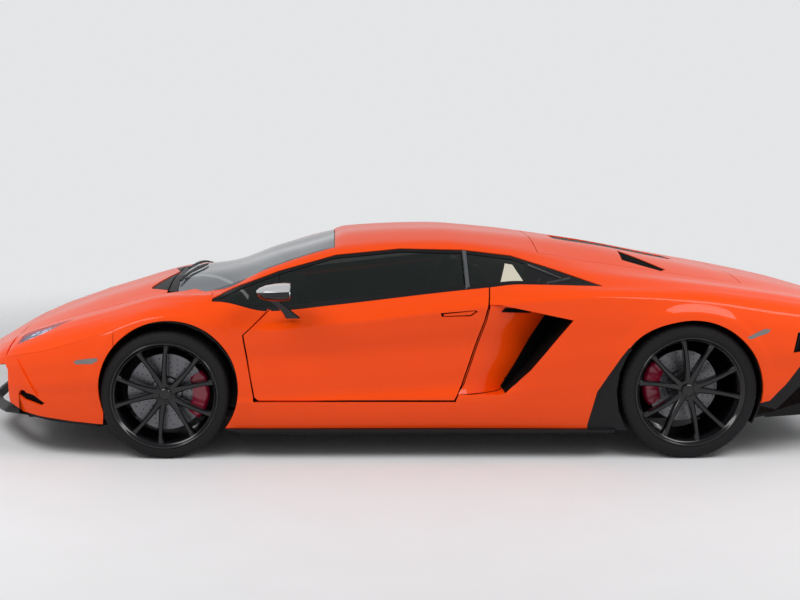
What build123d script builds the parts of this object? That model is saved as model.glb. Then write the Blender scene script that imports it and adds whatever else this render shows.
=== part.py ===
"""A low two-seat mid-engined supercar with scissor doors, built as an assembly of separate pieces.

Millimetres. The nose points along -X, the car's left side is -Y and +Z is up. The origin is on the
ground under the middle of the car. Outside panels are cut from ruled lofts through one table of
cross-sections (STATIONS), so neighbouring panels always share their surface.
"""

from build123d import *
import math
import os

os.makedirs("parts", exist_ok=True)

# ------------------------------------------------------------------ driving dimensions
WHEELBASE = 2700.0
FRONT_AXLE_X = -1320.0
REAR_AXLE_X = FRONT_AXLE_X + WHEELBASE
FLOOR_Z = 125.0              # underside of the flat floor
FLOOR_TOP_Z = 160.0
SILL_TOP_Z = 299.0
SKIN = 26.0                  # thickness of a body panel with its inner frame
GLASS = 6.0
LINER = 7.0                  # wheelhouse liner
SHUT_GAP = 6.0               # gap round doors and lids
SEAT_GAP = 0.3               # gap between pieces that only rest against each other
TUB_HALF_WIDTH = 700.0       # the cabin floor between the sills
FLOOR_HALF_WIDTH = 945.0     # the floor under the sills
FRONT_BAY_HALF_WIDTH = 555.0
REAR_BAY_HALF_WIDTH = 600.0
FRONT_RAIL_Y = 400.0         # inner side of the front frame rails
REAR_RAIL_Y = 590.0          # outer side of the rear frame rails
DOOR_INNER_Y = 745.0         # inner face of the door

# wheel sizes: tyre radius and width, rim flange radius, wheel centre y, brake disc radius,
# and the wheel arch's centre, as an offset (x, z) from the axle, and radius
FRONT_WHEEL = dict(x=FRONT_AXLE_X, radius=330.0, width=255.0, flange=271.5, track_y=848.0,
                   disc=198.0, arch_offset=(23.0, 36.0), arch_radius=352.0)
REAR_WHEEL = dict(x=REAR_AXLE_X, radius=355.0, width=340.0, flange=284.0, track_y=828.0,
                  disc=188.0, arch_offset=(0.0, 0.0), arch_radius=377.0)
ARCH_SIDES = 40              # a wheel arch is cut as part of a polygon with this many sides
LINER_SIDES = 24
TYRE_CLEARANCE = 20.0
STEER_CLEARANCE = 42.0       # wheelhouse radius less tyre radius where the tyre steers
REAR_CLEARANCE = 27.0        # the same at the rear
LINER_OUTER_Y = 921.0
RIM_WALL = 9.0
RIM_LIP = 17.0               # height of the rim's flange over its bead seat
FLANGE_THICKNESS = 4.0
WHEEL_SIDES = 40             # tyre, rim and disc have this many flats
SHOULDER = 10.0              # bevel of the tyre's edges
SPOKES = 5                   # Y-shaped spokes, so twice as many tips
SPOKE_SPREAD = 15.0          # degrees from a spoke's root to each of its two tips
SPOKE_WIDTH = 22.0
HUB_RADIUS = 62.0
CAP_RADIUS = 30.0
DISC_THICKNESS = 34.0
KINGPIN_Y = 800.0            # steering axis of the front wheels

DOOR_PIVOT = (-770.0, 860.0)  # x, z of the scissor hinge
DOOR_THICK_RADIUS = 985.0    # behind this arc about the pivot the door is a thin shell
DOOR_ARC_SIDES = 90
LID_REAR_X = -1345.0
HINGE_GAP = 10.0             # gap at the hinged edge of a lid, with the hinge barrel in it
NOSE_X = -2150.0             # rear edge of the nose panel
BUMPER_REAR_X = -1570.0      # where the bumper's lower corner ends, over the front wheel
COVER_FRONT_X = 640.0
COVER_REAR_X = 1760.0
COVER_HALF_WIDTH = 545.0
ROOF_REAR_X = 1000.0
TAIL_X = 2150.0              # front edge of the rear bumper
WINDSCREEN_BASE_X = -1215.0
WINDSCREEN_TOP_X = -450.0
FIREWALL_X = 345.0           # front face of the wall behind the seats

# ------------------------------------------------------------------ body cross-sections
# Half-sections. Each row: x, then (y, z) of six creases from the bottom edge up, then the
# centreline height.
#    x       low         side        flank        waist        belt         rail        crown
COLUMNS = ("low", "side", "flank", "waist", "belt", "rail", "crown")
STATIONS = [
    (-2398, (240, 160), (300, 250), (330, 320), (330, 370), (300, 408), (200, 424), 430),
    (-2180, (720, 160), (780, 270), (800, 400), (780, 490), (690, 530), (460, 548), 560),
    (-1900, (905, 160), (935, 290), (945, 430), (920, 560), (790, 632), (580, 650), 680),
    (-1650, (950, 160), (970, 290), (985, 480), (955, 640), (820, 703), (620, 724), 770),
    (-1320, (960, 160), (985, 295), (995, 560), (965, 740), (840, 790), (640, 812), 865),
    (-1060, (960, 160), (985, 297), (975, 520), (950, 690), (850, 800), (735, 832), 908),
    (-800, (965, 160), (985, 300), (940, 520), (945, 665), (850, 745), (665, 945), 982),
    (-460, (965, 160), (985, 303), (925, 540), (945, 700), (848, 775), (600, 1046), 1082),
    (-400, (965, 160), (985, 304), (925, 545), (946, 705), (849, 782), (592, 1056), 1112),
    (100, (965, 160), (988, 315), (925, 580), (955, 768), (855, 845), (560, 1083), 1136),
    (500, (970, 160), (995, 345), (950, 620), (970, 815), (875, 893), (566, 1050), 1108),
    (950, (985, 162), (1005, 380), (1010, 640), (990, 850), (890, 888), (610, 965), 1060),
    (1380, (1000, 165), (1010, 400), (1015, 700), (975, 830), (890, 872), (640, 905), 975),
    (1800, (985, 200), (1005, 400), (1008, 640), (960, 770), (870, 822), (640, 850), 888),
    (2150, (930, 280), (955, 430), (955, 600), (915, 715), (830, 765), (620, 790), 806),
    (2398, (800, 330), (835, 450), (840, 580), (815, 660), (740, 705), (560, 725), 740),
]


def station(x):
    """The half-section at x as a list of (y, z), in the order of COLUMNS."""
    rows = STATIONS
    x = min(max(x, rows[0][0]), rows[-1][0])
    i = max(k for k in range(len(rows) - 1) if rows[k][0] <= x)
    low, high = rows[i], rows[i + 1]
    t = (x - low[0]) / (high[0] - low[0])
    points = [tuple(a + (b - a) * t for a, b in zip(low[k], high[k])) for k in range(1, 7)]
    return points + [(0.0, low[7] + (high[7] - low[7]) * t)]


def stations_over(x0, x1):
    """The stations whose spans cover x0 to x1, so that every panel shares the same flat facets."""
    xs = [row[0] for row in STATIONS]
    first = max(k for k in range(len(xs) - 1) if xs[k] <= max(x0, xs[0]))
    last = min(k for k in range(1, len(xs)) if xs[k] >= min(x1, xs[-1]))
    return xs[first:last + 1]


def inset(points, distance):
    """The open polyline moved to its left by distance, with mitred corners."""
    lines = []
    for (y0, z0), (y1, z1) in zip(points, points[1:]):
        length = math.hypot(y1 - y0, z1 - z0)
        ny, nz = -(z1 - z0) / length * distance, (y1 - y0) / length * distance
        lines.append((y0 + ny, z0 + nz, y1 + ny, z1 + nz))
    moved = [lines[0][:2]]
    for a, b in zip(lines, lines[1:]):
        ay, az, by, bz = a[2] - a[0], a[3] - a[1], b[2] - b[0], b[3] - b[1]
        cross = ay * bz - az * by
        if abs(cross) < 1e-4 * math.hypot(ay, az) * math.hypot(by, bz):
            moved.append(a[2:])
            continue
        t = ((b[0] - a[0]) * bz - (b[1] - a[1]) * by) / cross
        moved.append((a[0] + ay * t, a[1] + az * t))
    moved.append(lines[-1][2:])
    return moved


def toward(a, b, distance):
    length = math.hypot(b[0] - a[0], b[1] - a[1])
    return (a[0] + (b[0] - a[0]) * distance / length, a[1] + (b[1] - a[1]) * distance / length)


def band(x, first, last, depth, thickness):
    """Outer and inner lines of a panel from crease first to crease last, mitred at its ends.

    depth is how far under the body surface the outer line lies.
    """
    half = station(x)
    whole = half + [(-y, z) for y, z in reversed(half[:-1])]
    a, b = COLUMNS.index(first), COLUMNS.index(last) + 1
    lines = []
    for distance in (depth, depth + thickness):
        line = (inset(whole, distance) if distance else list(whole))[a:b]
        line[0] = toward(line[0], line[1], SEAT_GAP)
        if last != "crown":
            line[-1] = toward(line[-1], line[-2], SEAT_GAP)
        lines.append(line)
    return lines


def flat_face(points):
    return Face(Wire.make_polygon([Vector(*point) for point in points], close=True))


def from_middle(a, b):
    """How far the middle of a and b lies from the car's centreline at knee height."""
    return math.hypot((a[1] + b[1]) / 2, (a[2] + b[2]) / 2 - 400)


def skinned(rings):
    """A solid through closed rings of points, each side cut along its outer diagonal."""
    faces = [flat_face(rings[0]), flat_face(rings[-1])]
    for low, high in zip(rings, rings[1:]):
        for k in range(len(low)):
            a, b, c, d = low[k - 1], low[k], high[k], high[k - 1]
            if from_middle(a, c) > from_middle(b, d):
                faces += [flat_face((a, b, c)), flat_face((a, c, d))]
            else:
                faces += [flat_face((a, b, d)), flat_face((b, c, d))]
    return Solid(Shell(faces))


def faceted(sections):
    """A solid with flat facets through [(x, [(y, z), ...]), ...]."""
    return skinned([[(x, y, z) for y, z in points] for x, points in sections])


def turned(profile, sides):
    """A ring about the Y axis from an (r, y) profile, with flat sides and a corner straight up."""
    rings = []
    for k in range(sides):
        turn = math.tau * k / sides
        rings.append([(r * math.sin(turn), y, r * math.cos(turn)) for r, y in profile])
    faces = [flat_face((a[k - 1], a[k], b[k], b[k - 1]))
             for a, b in zip(rings, rings[1:] + rings[:1]) for k in range(len(profile))]
    return Solid(Shell(faces))


def between(shape, x0, x1):
    return shape & block(x0, x1, -1300, 1300, 0, 1300)


def skin_side(first, last, x0, x1, thickness=SKIN, depth=0.0):
    """A right-hand panel whose outside is the body surface between two creases."""
    sections = []
    for x in stations_over(x0, x1):
        outer, inner = band(x, first, last, depth, thickness)
        sections.append((x, outer + inner[::-1]))
    return between(faceted(sections), x0, x1)


def skin_across(first, x0, x1, thickness=SKIN):
    """A panel that spans the car from crease first on one side to the same on the other."""
    sections = []
    for x in stations_over(x0, x1):
        outer, inner = band(x, first, "crown", 0.0, thickness)
        outer += [(-y, z) for y, z in reversed(outer[:-1])]
        inner += [(-y, z) for y, z in reversed(inner[:-1])]
        sections.append((x, outer + inner[::-1]))
    return between(faceted(sections), x0, x1)


def solid_across(x0, x1):
    """The whole body section between x0 and x1."""
    sections = []
    for x in stations_over(x0, x1):
        half = station(x)
        sections.append((x, half + [(-y, z) for y, z in reversed(half[:-1])]))
    return between(faceted(sections), x0, x1)


def solid_side(first, last, x0, x1, inner_y):
    """A thick right-hand piece, from the body surface in to a flat inner face."""
    sections = []
    for x in stations_over(x0, x1):
        outer = band(x, first, last, 0.0, SKIN)[0]
        sections.append((x, [(inner_y, outer[0][1])] + outer + [(inner_y, outer[-1][1])]))
    return between(faceted(sections), x0, x1)


def above_crease(name, clearance, x0, x1):
    """Everything above a crease of the right-hand side, in from y = 1100."""
    column = COLUMNS.index(name)
    heights = [(x, station(x)[column][1] + clearance) for x in stations_over(x0, x1)]
    return prism_y(heights + [(heights[-1][0], 1300), (heights[0][0], 1300)], 0, 1100)


def outboard_of(name, clearance, x0, x1):
    """Everything further out than a crease of the right-hand side."""
    column = COLUMNS.index(name)
    widths = [(x, station(x)[column][0] + clearance) for x in stations_over(x0, x1)]
    return prism_z(widths + [(widths[-1][0], 1200), (widths[0][0], 1200)], 0, 1300)


def prism_y(points, y0, y1, grow=0.0):
    """A side-view outline of (x, z) points, grown by grow, carried from y0 to y1."""
    face = flat_face([(x, y0, z) for x, z in points])
    if grow:
        face = offset(face, grow, kind=Kind.INTERSECTION).face()
    return Solid.extrude(face, Vector(0, y1 - y0, 0))


def prism_z(points, z0, z1, grow=0.0):
    """A plan-view outline of (x, y) points, grown by grow, carried from z0 to z1."""
    face = flat_face([(x, y, z0) for x, y in points])
    if grow:
        face = offset(face, grow, kind=Kind.INTERSECTION).face()
    return Solid.extrude(face, Vector(0, 0, z1 - z0))


def whole_plan(half):
    """A plan view from its right half, which starts and ends on the centreline."""
    return half + [(x, -y) for x, y in reversed(half) if y]


def tube(x, z, radius, bore, y0, y1, sides):
    """A ring along Y between two regular polygons."""
    return (drum_with_sides(x, z, radius, y0, y1, sides)
            - drum_with_sides(x, z, bore, y0 - 1, y1 + 1, sides))


def block(x0, x1, y0, y1, z0, z1):
    return Pos((x0 + x1) / 2, (y0 + y1) / 2, (z0 + z1) / 2) * Box(x1 - x0, y1 - y0, z1 - z0)


def drum(x, z, radius, y0, y1):
    """A cylinder along Y."""
    return Pos(x, (y0 + y1) / 2, z) * Rot(90, 0, 0) * Cylinder(radius, y1 - y0)


def drum_with_sides(x, z, radius, y0, y1, sides):
    """A prism along Y on a regular polygon, with a corner straight up."""
    turns = [math.tau * k / sides for k in range(sides)]
    return prism_y([(x + radius * math.sin(t), z + radius * math.cos(t)) for t in turns], y0, y1)


def rod(a, b, radius):
    """A square bar from a to b."""
    a, b = Vector(*a), Vector(*b)
    plane = Plane(origin=a, z_dir=(b - a).normalized())
    return extrude(plane * RegularPolygon(radius, 4), (b - a).length)


def mirrored(shape):
    return shape.mirror(Plane.XZ)


def hinge_barrel(edge_x, panel_x):
    """A lid's hinge barrel in the gap between edge_x, which carries it, and the lid's panel_x."""
    x = (edge_x + panel_x) / 2
    z = station(panel_x)[-1][1] - HINGE_GAP / 2
    barrel = drum(x, z, HINGE_GAP / 2 - SEAT_GAP, -60, 60)
    if edge_x < panel_x:
        leaf = block(edge_x - 1, x, -60, 60, z - 3, z + 3)
    else:
        leaf = block(x, edge_x + 1, -60, 60, z - 3, z + 3)
    return barrel + leaf


def both(shape):
    """The right-hand piece and its mirror image, as one shape."""
    return Compound(children=[*shape.solids(), *mirrored(shape).solids()])


def group(*shapes):
    """Separate pieces kept side by side in one node."""
    return Compound(children=[solid for shape in shapes for solid in shape.solids()])


def save(name, shape):
    solids = shape.solids()
    export_step(solids[0] if len(solids) == 1 else Compound(children=solids),
                f"parts/{name}.step")


# ------------------------------------------------------------------ shared outlines
def arch(wheel, y0=600.0, y1=1200.0, extra=0.0):
    """The wheel arch: a circle about its own centre, opened where the tyre comes near."""
    dx, dz = wheel["arch_offset"]
    opening = drum_with_sides(wheel["x"] + dx, wheel["radius"] + dz,
                              wheel["arch_radius"] + extra, y0, y1, ARCH_SIDES)
    if dz:
        opening += wheelhouse(wheel, TYRE_CLEARANCE + extra, y0, y1)
    return opening


def wheelhouse(wheel, clearance, y0, y1):
    return drum_with_sides(wheel["x"], wheel["radius"], wheel["radius"] + clearance, y0, y1,
                           LINER_SIDES)


# side-view corners (x, z) of the door opening
DOOR_FRONT = [(-866, 323), (-922, 640), (-790, 765), (-790, 1000)]
DOOR_REAR = [(346, 1000), (346, 900), (330, 795), (312, 722), (200, 383), (160, 304)]
DOOR_BOTTOM_Z = 310.0


def door_outline(shrink):
    """The door's side view: the opening with its edges moved in by shrink."""
    front = [(x + shrink, z) for x, z in DOOR_FRONT]
    rear = [(x - shrink, z) for x, z in DOOR_REAR[:-1]]
    bottom_z = DOOR_BOTTOM_Z - SHUT_GAP + shrink
    return front + rear + [(DOOR_REAR[-1][0] - shrink, bottom_z), (-846 + shrink, bottom_z)]


# upper edge of the side windows, as (x, z)
WINDOW_TOP = [(-1085, 812), (-950, 868), (-746, 940), (-450, 1020), (-110, 1052), (222, 1048),
              (478, 1022), (694, 962), (935, 889)]
WINDOW_FRONT_X, WINDOW_REAR_X, VENT_REAR_X = -1080.0, 540.0, 935.0
DOOR_GLASS_FRONT_X, DOOR_GLASS_REAR_X = -742.0, 215.0
PILLAR_FRONT_X, PILLAR_REAR_X = 221.0, 243.0
DOOR_GLASS_TOP_GAP = 15.0


def window_top_z(x):
    for (xa, za), (xb, zb) in zip(WINDOW_TOP, WINDOW_TOP[1:]):
        if xa <= x <= xb:
            return za + (zb - za) * (x - xa) / (xb - xa)
    return WINDOW_TOP[0][1] if x < WINDOW_TOP[0][0] else WINDOW_TOP[-1][1]


def window_outline(x0, x1, drop):
    """A pane's outline from x0 to x1, drop below the opening's top edge."""
    top = [(x, z - drop) for x, z in WINDOW_TOP if x0 < x < x1]
    left, right = window_top_z(x0) - drop, window_top_z(x1) - drop
    return [(x0, 600.0), (x0, left)] + top + [(x1, right), (x1, 600.0)]


# plan views of the windscreen and of the cowl ahead of it, right half, (x, y)
WINDSCREEN_BASE = [(-1300, 0), (-1272, 350), (-1195, 600), (-1125, 690)]
WINDSCREEN_PLAN = WINDSCREEN_BASE + [(WINDSCREEN_TOP_X, 545), (WINDSCREEN_TOP_X, 0)]
COWL_PLAN = WINDSCREEN_BASE + [(WINDSCREEN_BASE_X, 678), (WINDSCREEN_BASE_X, 900), (-1400, 900),
                               (-1400, 0)]
# side views of a corner intake, with a blade left standing between its two openings
INTAKE_FRONT = [(-2330, 250), (-2290, 395), (-2172, 440), (-2156, 290)]
INTAKE_REAR = [(-2142, 462), (-2090, 431), (-1956, 261), (-1993, 234), (-2128, 288)]
HEADLAMP_OUTLINE = [(-2112, 520), (-2100, 600), (-1960, 660), (-1810, 712), (-1830, 655),
                    (-1980, 600)]
# half-widths of the front lid at its nose end and over its last, parallel stretch
LID_NOSE_HALF, LID_REAR_HALF = 455.0, 620.0
LID_PARALLEL_X = -1410.0
# side view of the air intake behind the door, (x, z)
INTAKE_OUTLINE = [(160, 336), (385, 336), (420, 345), (547, 465), (697, 648), (762, 728),
                  (385, 802), (340, 806), (312, 722), (200, 383)]
# side view of the black panel that fills the arch ahead of the rear wheel
FILLER_OUTLINE = [(850, 150), (850, 183), (892, 356), (1029, 576), (1380, 576), (1380, 150)]
# side view of what is black at the tail: below a line that climbs behind the rear wheel
LOWER_TAIL = [(1690, 262), (1835, 272), (1990, 462), (2090, 520), (2420, 545), (2420, 60),
              (1690, 60)]


def lid_plan(side_gap, rear_gap):
    """Plan view of the front lid's right half, or of its opening where gaps are given."""
    front_x, rear_x = NOSE_X + SHUT_GAP - side_gap, LID_REAR_X + rear_gap
    return [(front_x, 0), (front_x, LID_NOSE_HALF + side_gap),
            (LID_PARALLEL_X, LID_REAR_HALF + side_gap), (rear_x, LID_REAR_HALF + side_gap),
            (rear_x, 0)]


# ------------------------------------------------------------------ outside panels
def front_bumper():
    """Nose and lower front corners, with the two large corner intakes and the centre slot."""
    nose = skin_across("low", -2372, NOSE_X)
    corner = skin_side("low", "waist", NOSE_X, BUMPER_REAR_X - SEAT_GAP)
    corner -= arch(FRONT_WHEEL)
    corner -= wheelhouse(FRONT_WHEEL, STEER_CLEARANCE, 600, LINER_OUTER_Y + 14)
    body = nose + solid_across(-2398, -2372) + corner + mirrored(corner)
    intake = prism_y(INTAKE_FRONT, 380, 1100) + prism_y(INTAKE_REAR, 380, 1100)
    return body - intake - mirrored(intake) - block(-2420, -2300, -150, 150, 235, 330)


def headlamps():
    lens = skin_side("waist", "rail", NOSE_X, -1780, SKIN)
    return both(lens & prism_y(HEADLAMP_OUTLINE, 400, 1000))


def fenders():
    body = skin_side("waist", "crown", NOSE_X + SEAT_GAP, BUMPER_REAR_X)
    body += skin_side("low", "crown", BUMPER_REAR_X, LID_REAR_X + HINGE_GAP)
    body -= prism_z(lid_plan(SHUT_GAP, HINGE_GAP), 300, 1200)
    body += skin_side("low", "rail", LID_REAR_X + HINGE_GAP, WINDSCREEN_BASE_X)
    body += skin_side("low", "belt", WINDSCREEN_BASE_X, -700)
    body -= arch(FRONT_WHEEL)
    body -= prism_y(door_outline(0.0), 600, 1100)
    body -= prism_y(HEADLAMP_OUTLINE, 400, 1000)
    body -= block(FRONT_AXLE_X, 0, 600, 1100, 0, SILL_TOP_Z + SEAT_GAP)
    body -= block(DOOR_FRONT[0][0], 0, 600, 1100, 0, 400)
    return both(body)


def intake_pocket():
    """The side intake: a pocket whose floor slopes in from the door towards the engine."""
    solid = solid_side("side", "belt", 170, 800, 770)
    solid &= prism_y([(150, 322), (390, 322), (428, 334), (558, 456), (708, 638), (780, 736),
                      (388, 816), (330, 820)], 600, 1100)
    ramp = prism_z([(100, 1200), (100, 935), (200, 925), (330, 905), (790, 800), (790, 1200)],
                   200, 1000)
    return solid - (prism_y(INTAKE_OUTLINE, 600, 1100) & ramp)


def quarters():
    skin = skin_side("low", "belt", 170, REAR_AXLE_X)
    skin += skin_side("side", "belt", REAR_AXLE_X, TAIL_X - SEAT_GAP)
    skin -= prism_y(INTAKE_OUTLINE, 600, 1100)
    body = skin + intake_pocket()
    body -= arch(REAR_WHEEL)
    body -= prism_y(FILLER_OUTLINE, 600, 1200)
    body -= prism_y(door_outline(0.0), 600, 1200)
    body -= block(0, REAR_AXLE_X, 600, 1200, 0, SILL_TOP_Z + SEAT_GAP)
    return both(body)


def sills():
    body = solid_side("low", "side", FRONT_AXLE_X + 300, REAR_AXLE_X - 300, TUB_HALF_WIDTH)
    body &= block(-2000, 2000, 600, 1100, FLOOR_TOP_Z + SEAT_GAP, SILL_TOP_Z)
    body -= arch(FRONT_WHEEL)
    body -= wheelhouse(FRONT_WHEEL, STEER_CLEARANCE, 600, LINER_OUTER_Y)
    body -= prism_y(FILLER_OUTLINE, FILLER_FACE_Y - 15, 1200)
    return both(body - arch(REAR_WHEEL))


def roof():
    """Roof and its pillars: windscreen, side windows and engine bay are openings in it."""
    body = skin_across("belt", WINDSCREEN_BASE_X + SEAT_GAP, ROOF_REAR_X)
    body -= prism_z(whole_plan(WINDSCREEN_PLAN), 700, 1200)
    body -= prism_z(whole_plan(COWL_PLAN), 700, 1200, SEAT_GAP)
    side = prism_y(window_outline(WINDOW_FRONT_X, PILLAR_FRONT_X, 0.0), 500, 1100)
    side += prism_y(window_outline(PILLAR_REAR_X, VENT_REAR_X, 0.0), 500, 1100)
    body -= side
    body -= mirrored(side)
    half = COVER_HALF_WIDTH + SHUT_GAP
    edge_x = COVER_FRONT_X - HINGE_GAP
    body -= block(edge_x, ROOF_REAR_X + 10, -half, half, 700, 1200)
    return body + hinge_barrel(edge_x, COVER_FRONT_X)


def windscreen():
    pane = skin_across("rail", WINDSCREEN_BASE[0][0], WINDSCREEN_TOP_X, GLASS)
    return pane & prism_z(whole_plan(WINDSCREEN_PLAN), 600, 1200, -SEAT_GAP)


def quarter_vents():
    """Black louvred panel between the quarter window and the buttress."""
    panel = skin_side("belt", "rail", WINDOW_REAR_X, VENT_REAR_X, 14, 8)
    panel &= prism_y(window_outline(WINDOW_REAR_X + SEAT_GAP, VENT_REAR_X, SEAT_GAP), 500, 1100)
    for x in (585, 665, 745):
        panel -= prism_y([(x, 905), (x + 26, 905), (x - 14, 985), (x - 40, 985)], 500, 1100)
    return both(panel)


def fixed_glass():
    """The small pane ahead of the door glass, set back behind it, and the pane behind it."""
    front = skin_side("belt", "rail", WINDOW_FRONT_X - 12, DOOR_GLASS_FRONT_X, GLASS,
                      SKIN + SEAT_GAP)
    front &= prism_y(window_outline(WINDOW_FRONT_X - 10, DOOR_GLASS_FRONT_X - 8, -14.0), 500, 1000)
    front &= above_crease("belt", SEAT_GAP, WINDOW_FRONT_X - 12, DOOR_GLASS_FRONT_X)
    rear = skin_side("belt", "rail", PILLAR_REAR_X, WINDOW_REAR_X, GLASS)
    rear &= prism_y(window_outline(PILLAR_REAR_X + SEAT_GAP, WINDOW_REAR_X - SEAT_GAP, SEAT_GAP),
                    500, 1000)
    return both(group(front, rear))


def door():
    """One right-hand door: thick where it can be, a thin shell behind the pivot's arc."""
    x0, x1 = DOOR_FRONT[1][0], DOOR_REAR[0][0]
    thick = solid_side("side", "belt", x0, x1, DOOR_INNER_Y)
    thick &= drum_with_sides(*DOOR_PIVOT, DOOR_THICK_RADIUS, 600, 1100, DOOR_ARC_SIDES)
    shell = skin_side("side", "belt", x0, x1) & outboard_of("belt", SHUT_GAP, x0, x1)
    shell -= drum_with_sides(*DOOR_PIVOT, DOOR_THICK_RADIUS - 1, 600, 1100, DOOR_ARC_SIDES)
    return (thick + shell) & prism_y(door_outline(SHUT_GAP), 600, 1100)


def door_glass():
    x0, x1 = DOOR_GLASS_FRONT_X, DOOR_GLASS_REAR_X
    pane = skin_side("belt", "rail", x0, x1, GLASS) & above_crease("belt", SEAT_GAP, x0, x1)
    return pane & prism_y(window_outline(x0, x1, DOOR_GLASS_TOP_GAP), 500, 1000)


def mirror():
    """Door mirror: a head with a flat glass face, on a slanting arm that stands on the door."""
    head = faceted([
        (-845, [(1010, 850), (1060, 835), (1100, 850), (1100, 880), (1050, 890), (1010, 880)]),
        (-790, [(930, 850), (1060, 815), (1130, 835), (1130, 900), (1050, 915), (940, 900)]),
        (-690, [(920, 850), (1060, 818), (1132, 835), (1132, 905), (1050, 922), (930, 905)]),
    ])
    arm = faceted([
        (-800, [(940, 826), (980, 826), (980, 850), (940, 850)]),
        (-640, [(895, 700), (925, 700), (925, 730), (895, 730)]),
    ])
    body = head + arm
    return body - skin_side("flank", "belt", -830, -600, 60)


def front_lid():
    panel = skin_across("rail", NOSE_X, LID_REAR_X)
    half = prism_z(lid_plan(0.0, 0.0), 300, 1200)
    return panel & (half + mirrored(half))


def cowl():
    edge_x = LID_REAR_X + HINGE_GAP
    body = skin_across("rail", edge_x, WINDSCREEN_BASE[-1][0])
    body &= prism_z(whole_plan(COWL_PLAN), 600, 1200)
    return body + hinge_barrel(edge_x, LID_REAR_X)


# plan view of the slanting slot on each side of the engine cover, (x, y)
COVER_SLOT = [(1140, 190), (1330, 480), (1300, 520), (1120, 440)]


def engine_cover():
    panel = skin_across("rail", COVER_FRONT_X, COVER_REAR_X)
    panel &= block(0, 3000, -COVER_HALF_WIDTH, COVER_HALF_WIDTH, 0, 2000)
    slot = prism_z(COVER_SLOT, 700, 1200)
    for x in (760, 880, 1000):
        slot += prism_z([(x, 60), (x + 60, 60), (x + 130, 300), (x + 70, 300)], 700, 1200)
    return panel - slot - mirrored(slot)


def rear_deck():
    body = skin_across("belt", ROOF_REAR_X + SEAT_GAP, TAIL_X - SEAT_GAP)
    half = COVER_HALF_WIDTH + SHUT_GAP
    return body - block(0, COVER_REAR_X + SHUT_GAP, -half, half, 600, 1200)


END_WALL_X = 2372.0          # front face of the tail's thick end wall


def tail_shell():
    """Everything behind the quarters and below the deck, before its colours part."""
    lower = skin_side("low", "side", REAR_AXLE_X + 200, TAIL_X)
    lower -= arch(REAR_WHEEL)
    return skin_across("low", TAIL_X, END_WALL_X) + solid_across(END_WALL_X, 2398) + both(lower)


def rear_bumper():
    body = tail_shell() - prism_y(LOWER_TAIL, -1200, 1200)
    lamp = block(2380, 2400, 330, 900, 600, 662)
    return body - lamp - mirrored(lamp)


def tail_lamps():
    return both(solid_across(2372, 2398) & block(2380 + SEAT_GAP, 2398, 330.5, 900, 600.5, 661.5))


def diffuser():
    """Black lower tail with a rising floor, upright strakes and one central exhaust."""
    wall = tail_shell() & prism_y(LOWER_TAIL, -1200, 1200, -SEAT_GAP)
    wall -= block(2300, 2420, -300, 300, 350, 500)
    plan = [(1790, 0), (1790, 925), (2150, 900), (END_WALL_X + 1, 790), (END_WALL_X + 1, 0)]
    plate = prism_y([(1790, 130), (1790, 160), (2330, 329), (2380, 340), (2380, 300)], -960, 960)
    plate &= prism_z(whole_plan(plan), 0, 600)
    for y in (-520, -260, 0, 260, 520):
        plate += prism_y([(1900, 150), (2150, 150), (2340, 240), (2340, 320)], y - 5, y + 5)
    pipe = Pos(2340, 0, 425) * Rot(0, 90, 0) * extrude(
        RegularPolygon(105, 6) - RegularPolygon(88, 6), 50)
    bracket = block(2345, 2385, -302, 302, 405, 440) - block(2300, 2420, -90, 90, 400, 450)
    return wall + plate + pipe + bracket


def splitter():
    """The black lip under the front bumper."""
    inner_y = FRONT_BAY_HALF_WIDTH + 15
    half = prism_z([(-2390, 0), (-2386, 235), (-2176, 712), (-1902, 898),
                    (FRONT_AXLE_X - 370, 940), (FRONT_AXLE_X - 370, inner_y), (-2100, inner_y),
                    (-2100, 0)], 136, FLOOR_TOP_Z - SEAT_GAP)
    return half + mirrored(half)


def front_radiators():
    """A cooler behind each corner intake, standing on the splitter."""
    inner_y = FRONT_BAY_HALF_WIDTH + 20
    return both(prism_z([(-2010, inner_y), (-1950, inner_y), (-1900, 830), (-1960, 830)],
                        FLOOR_TOP_Z, 440))


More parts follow.
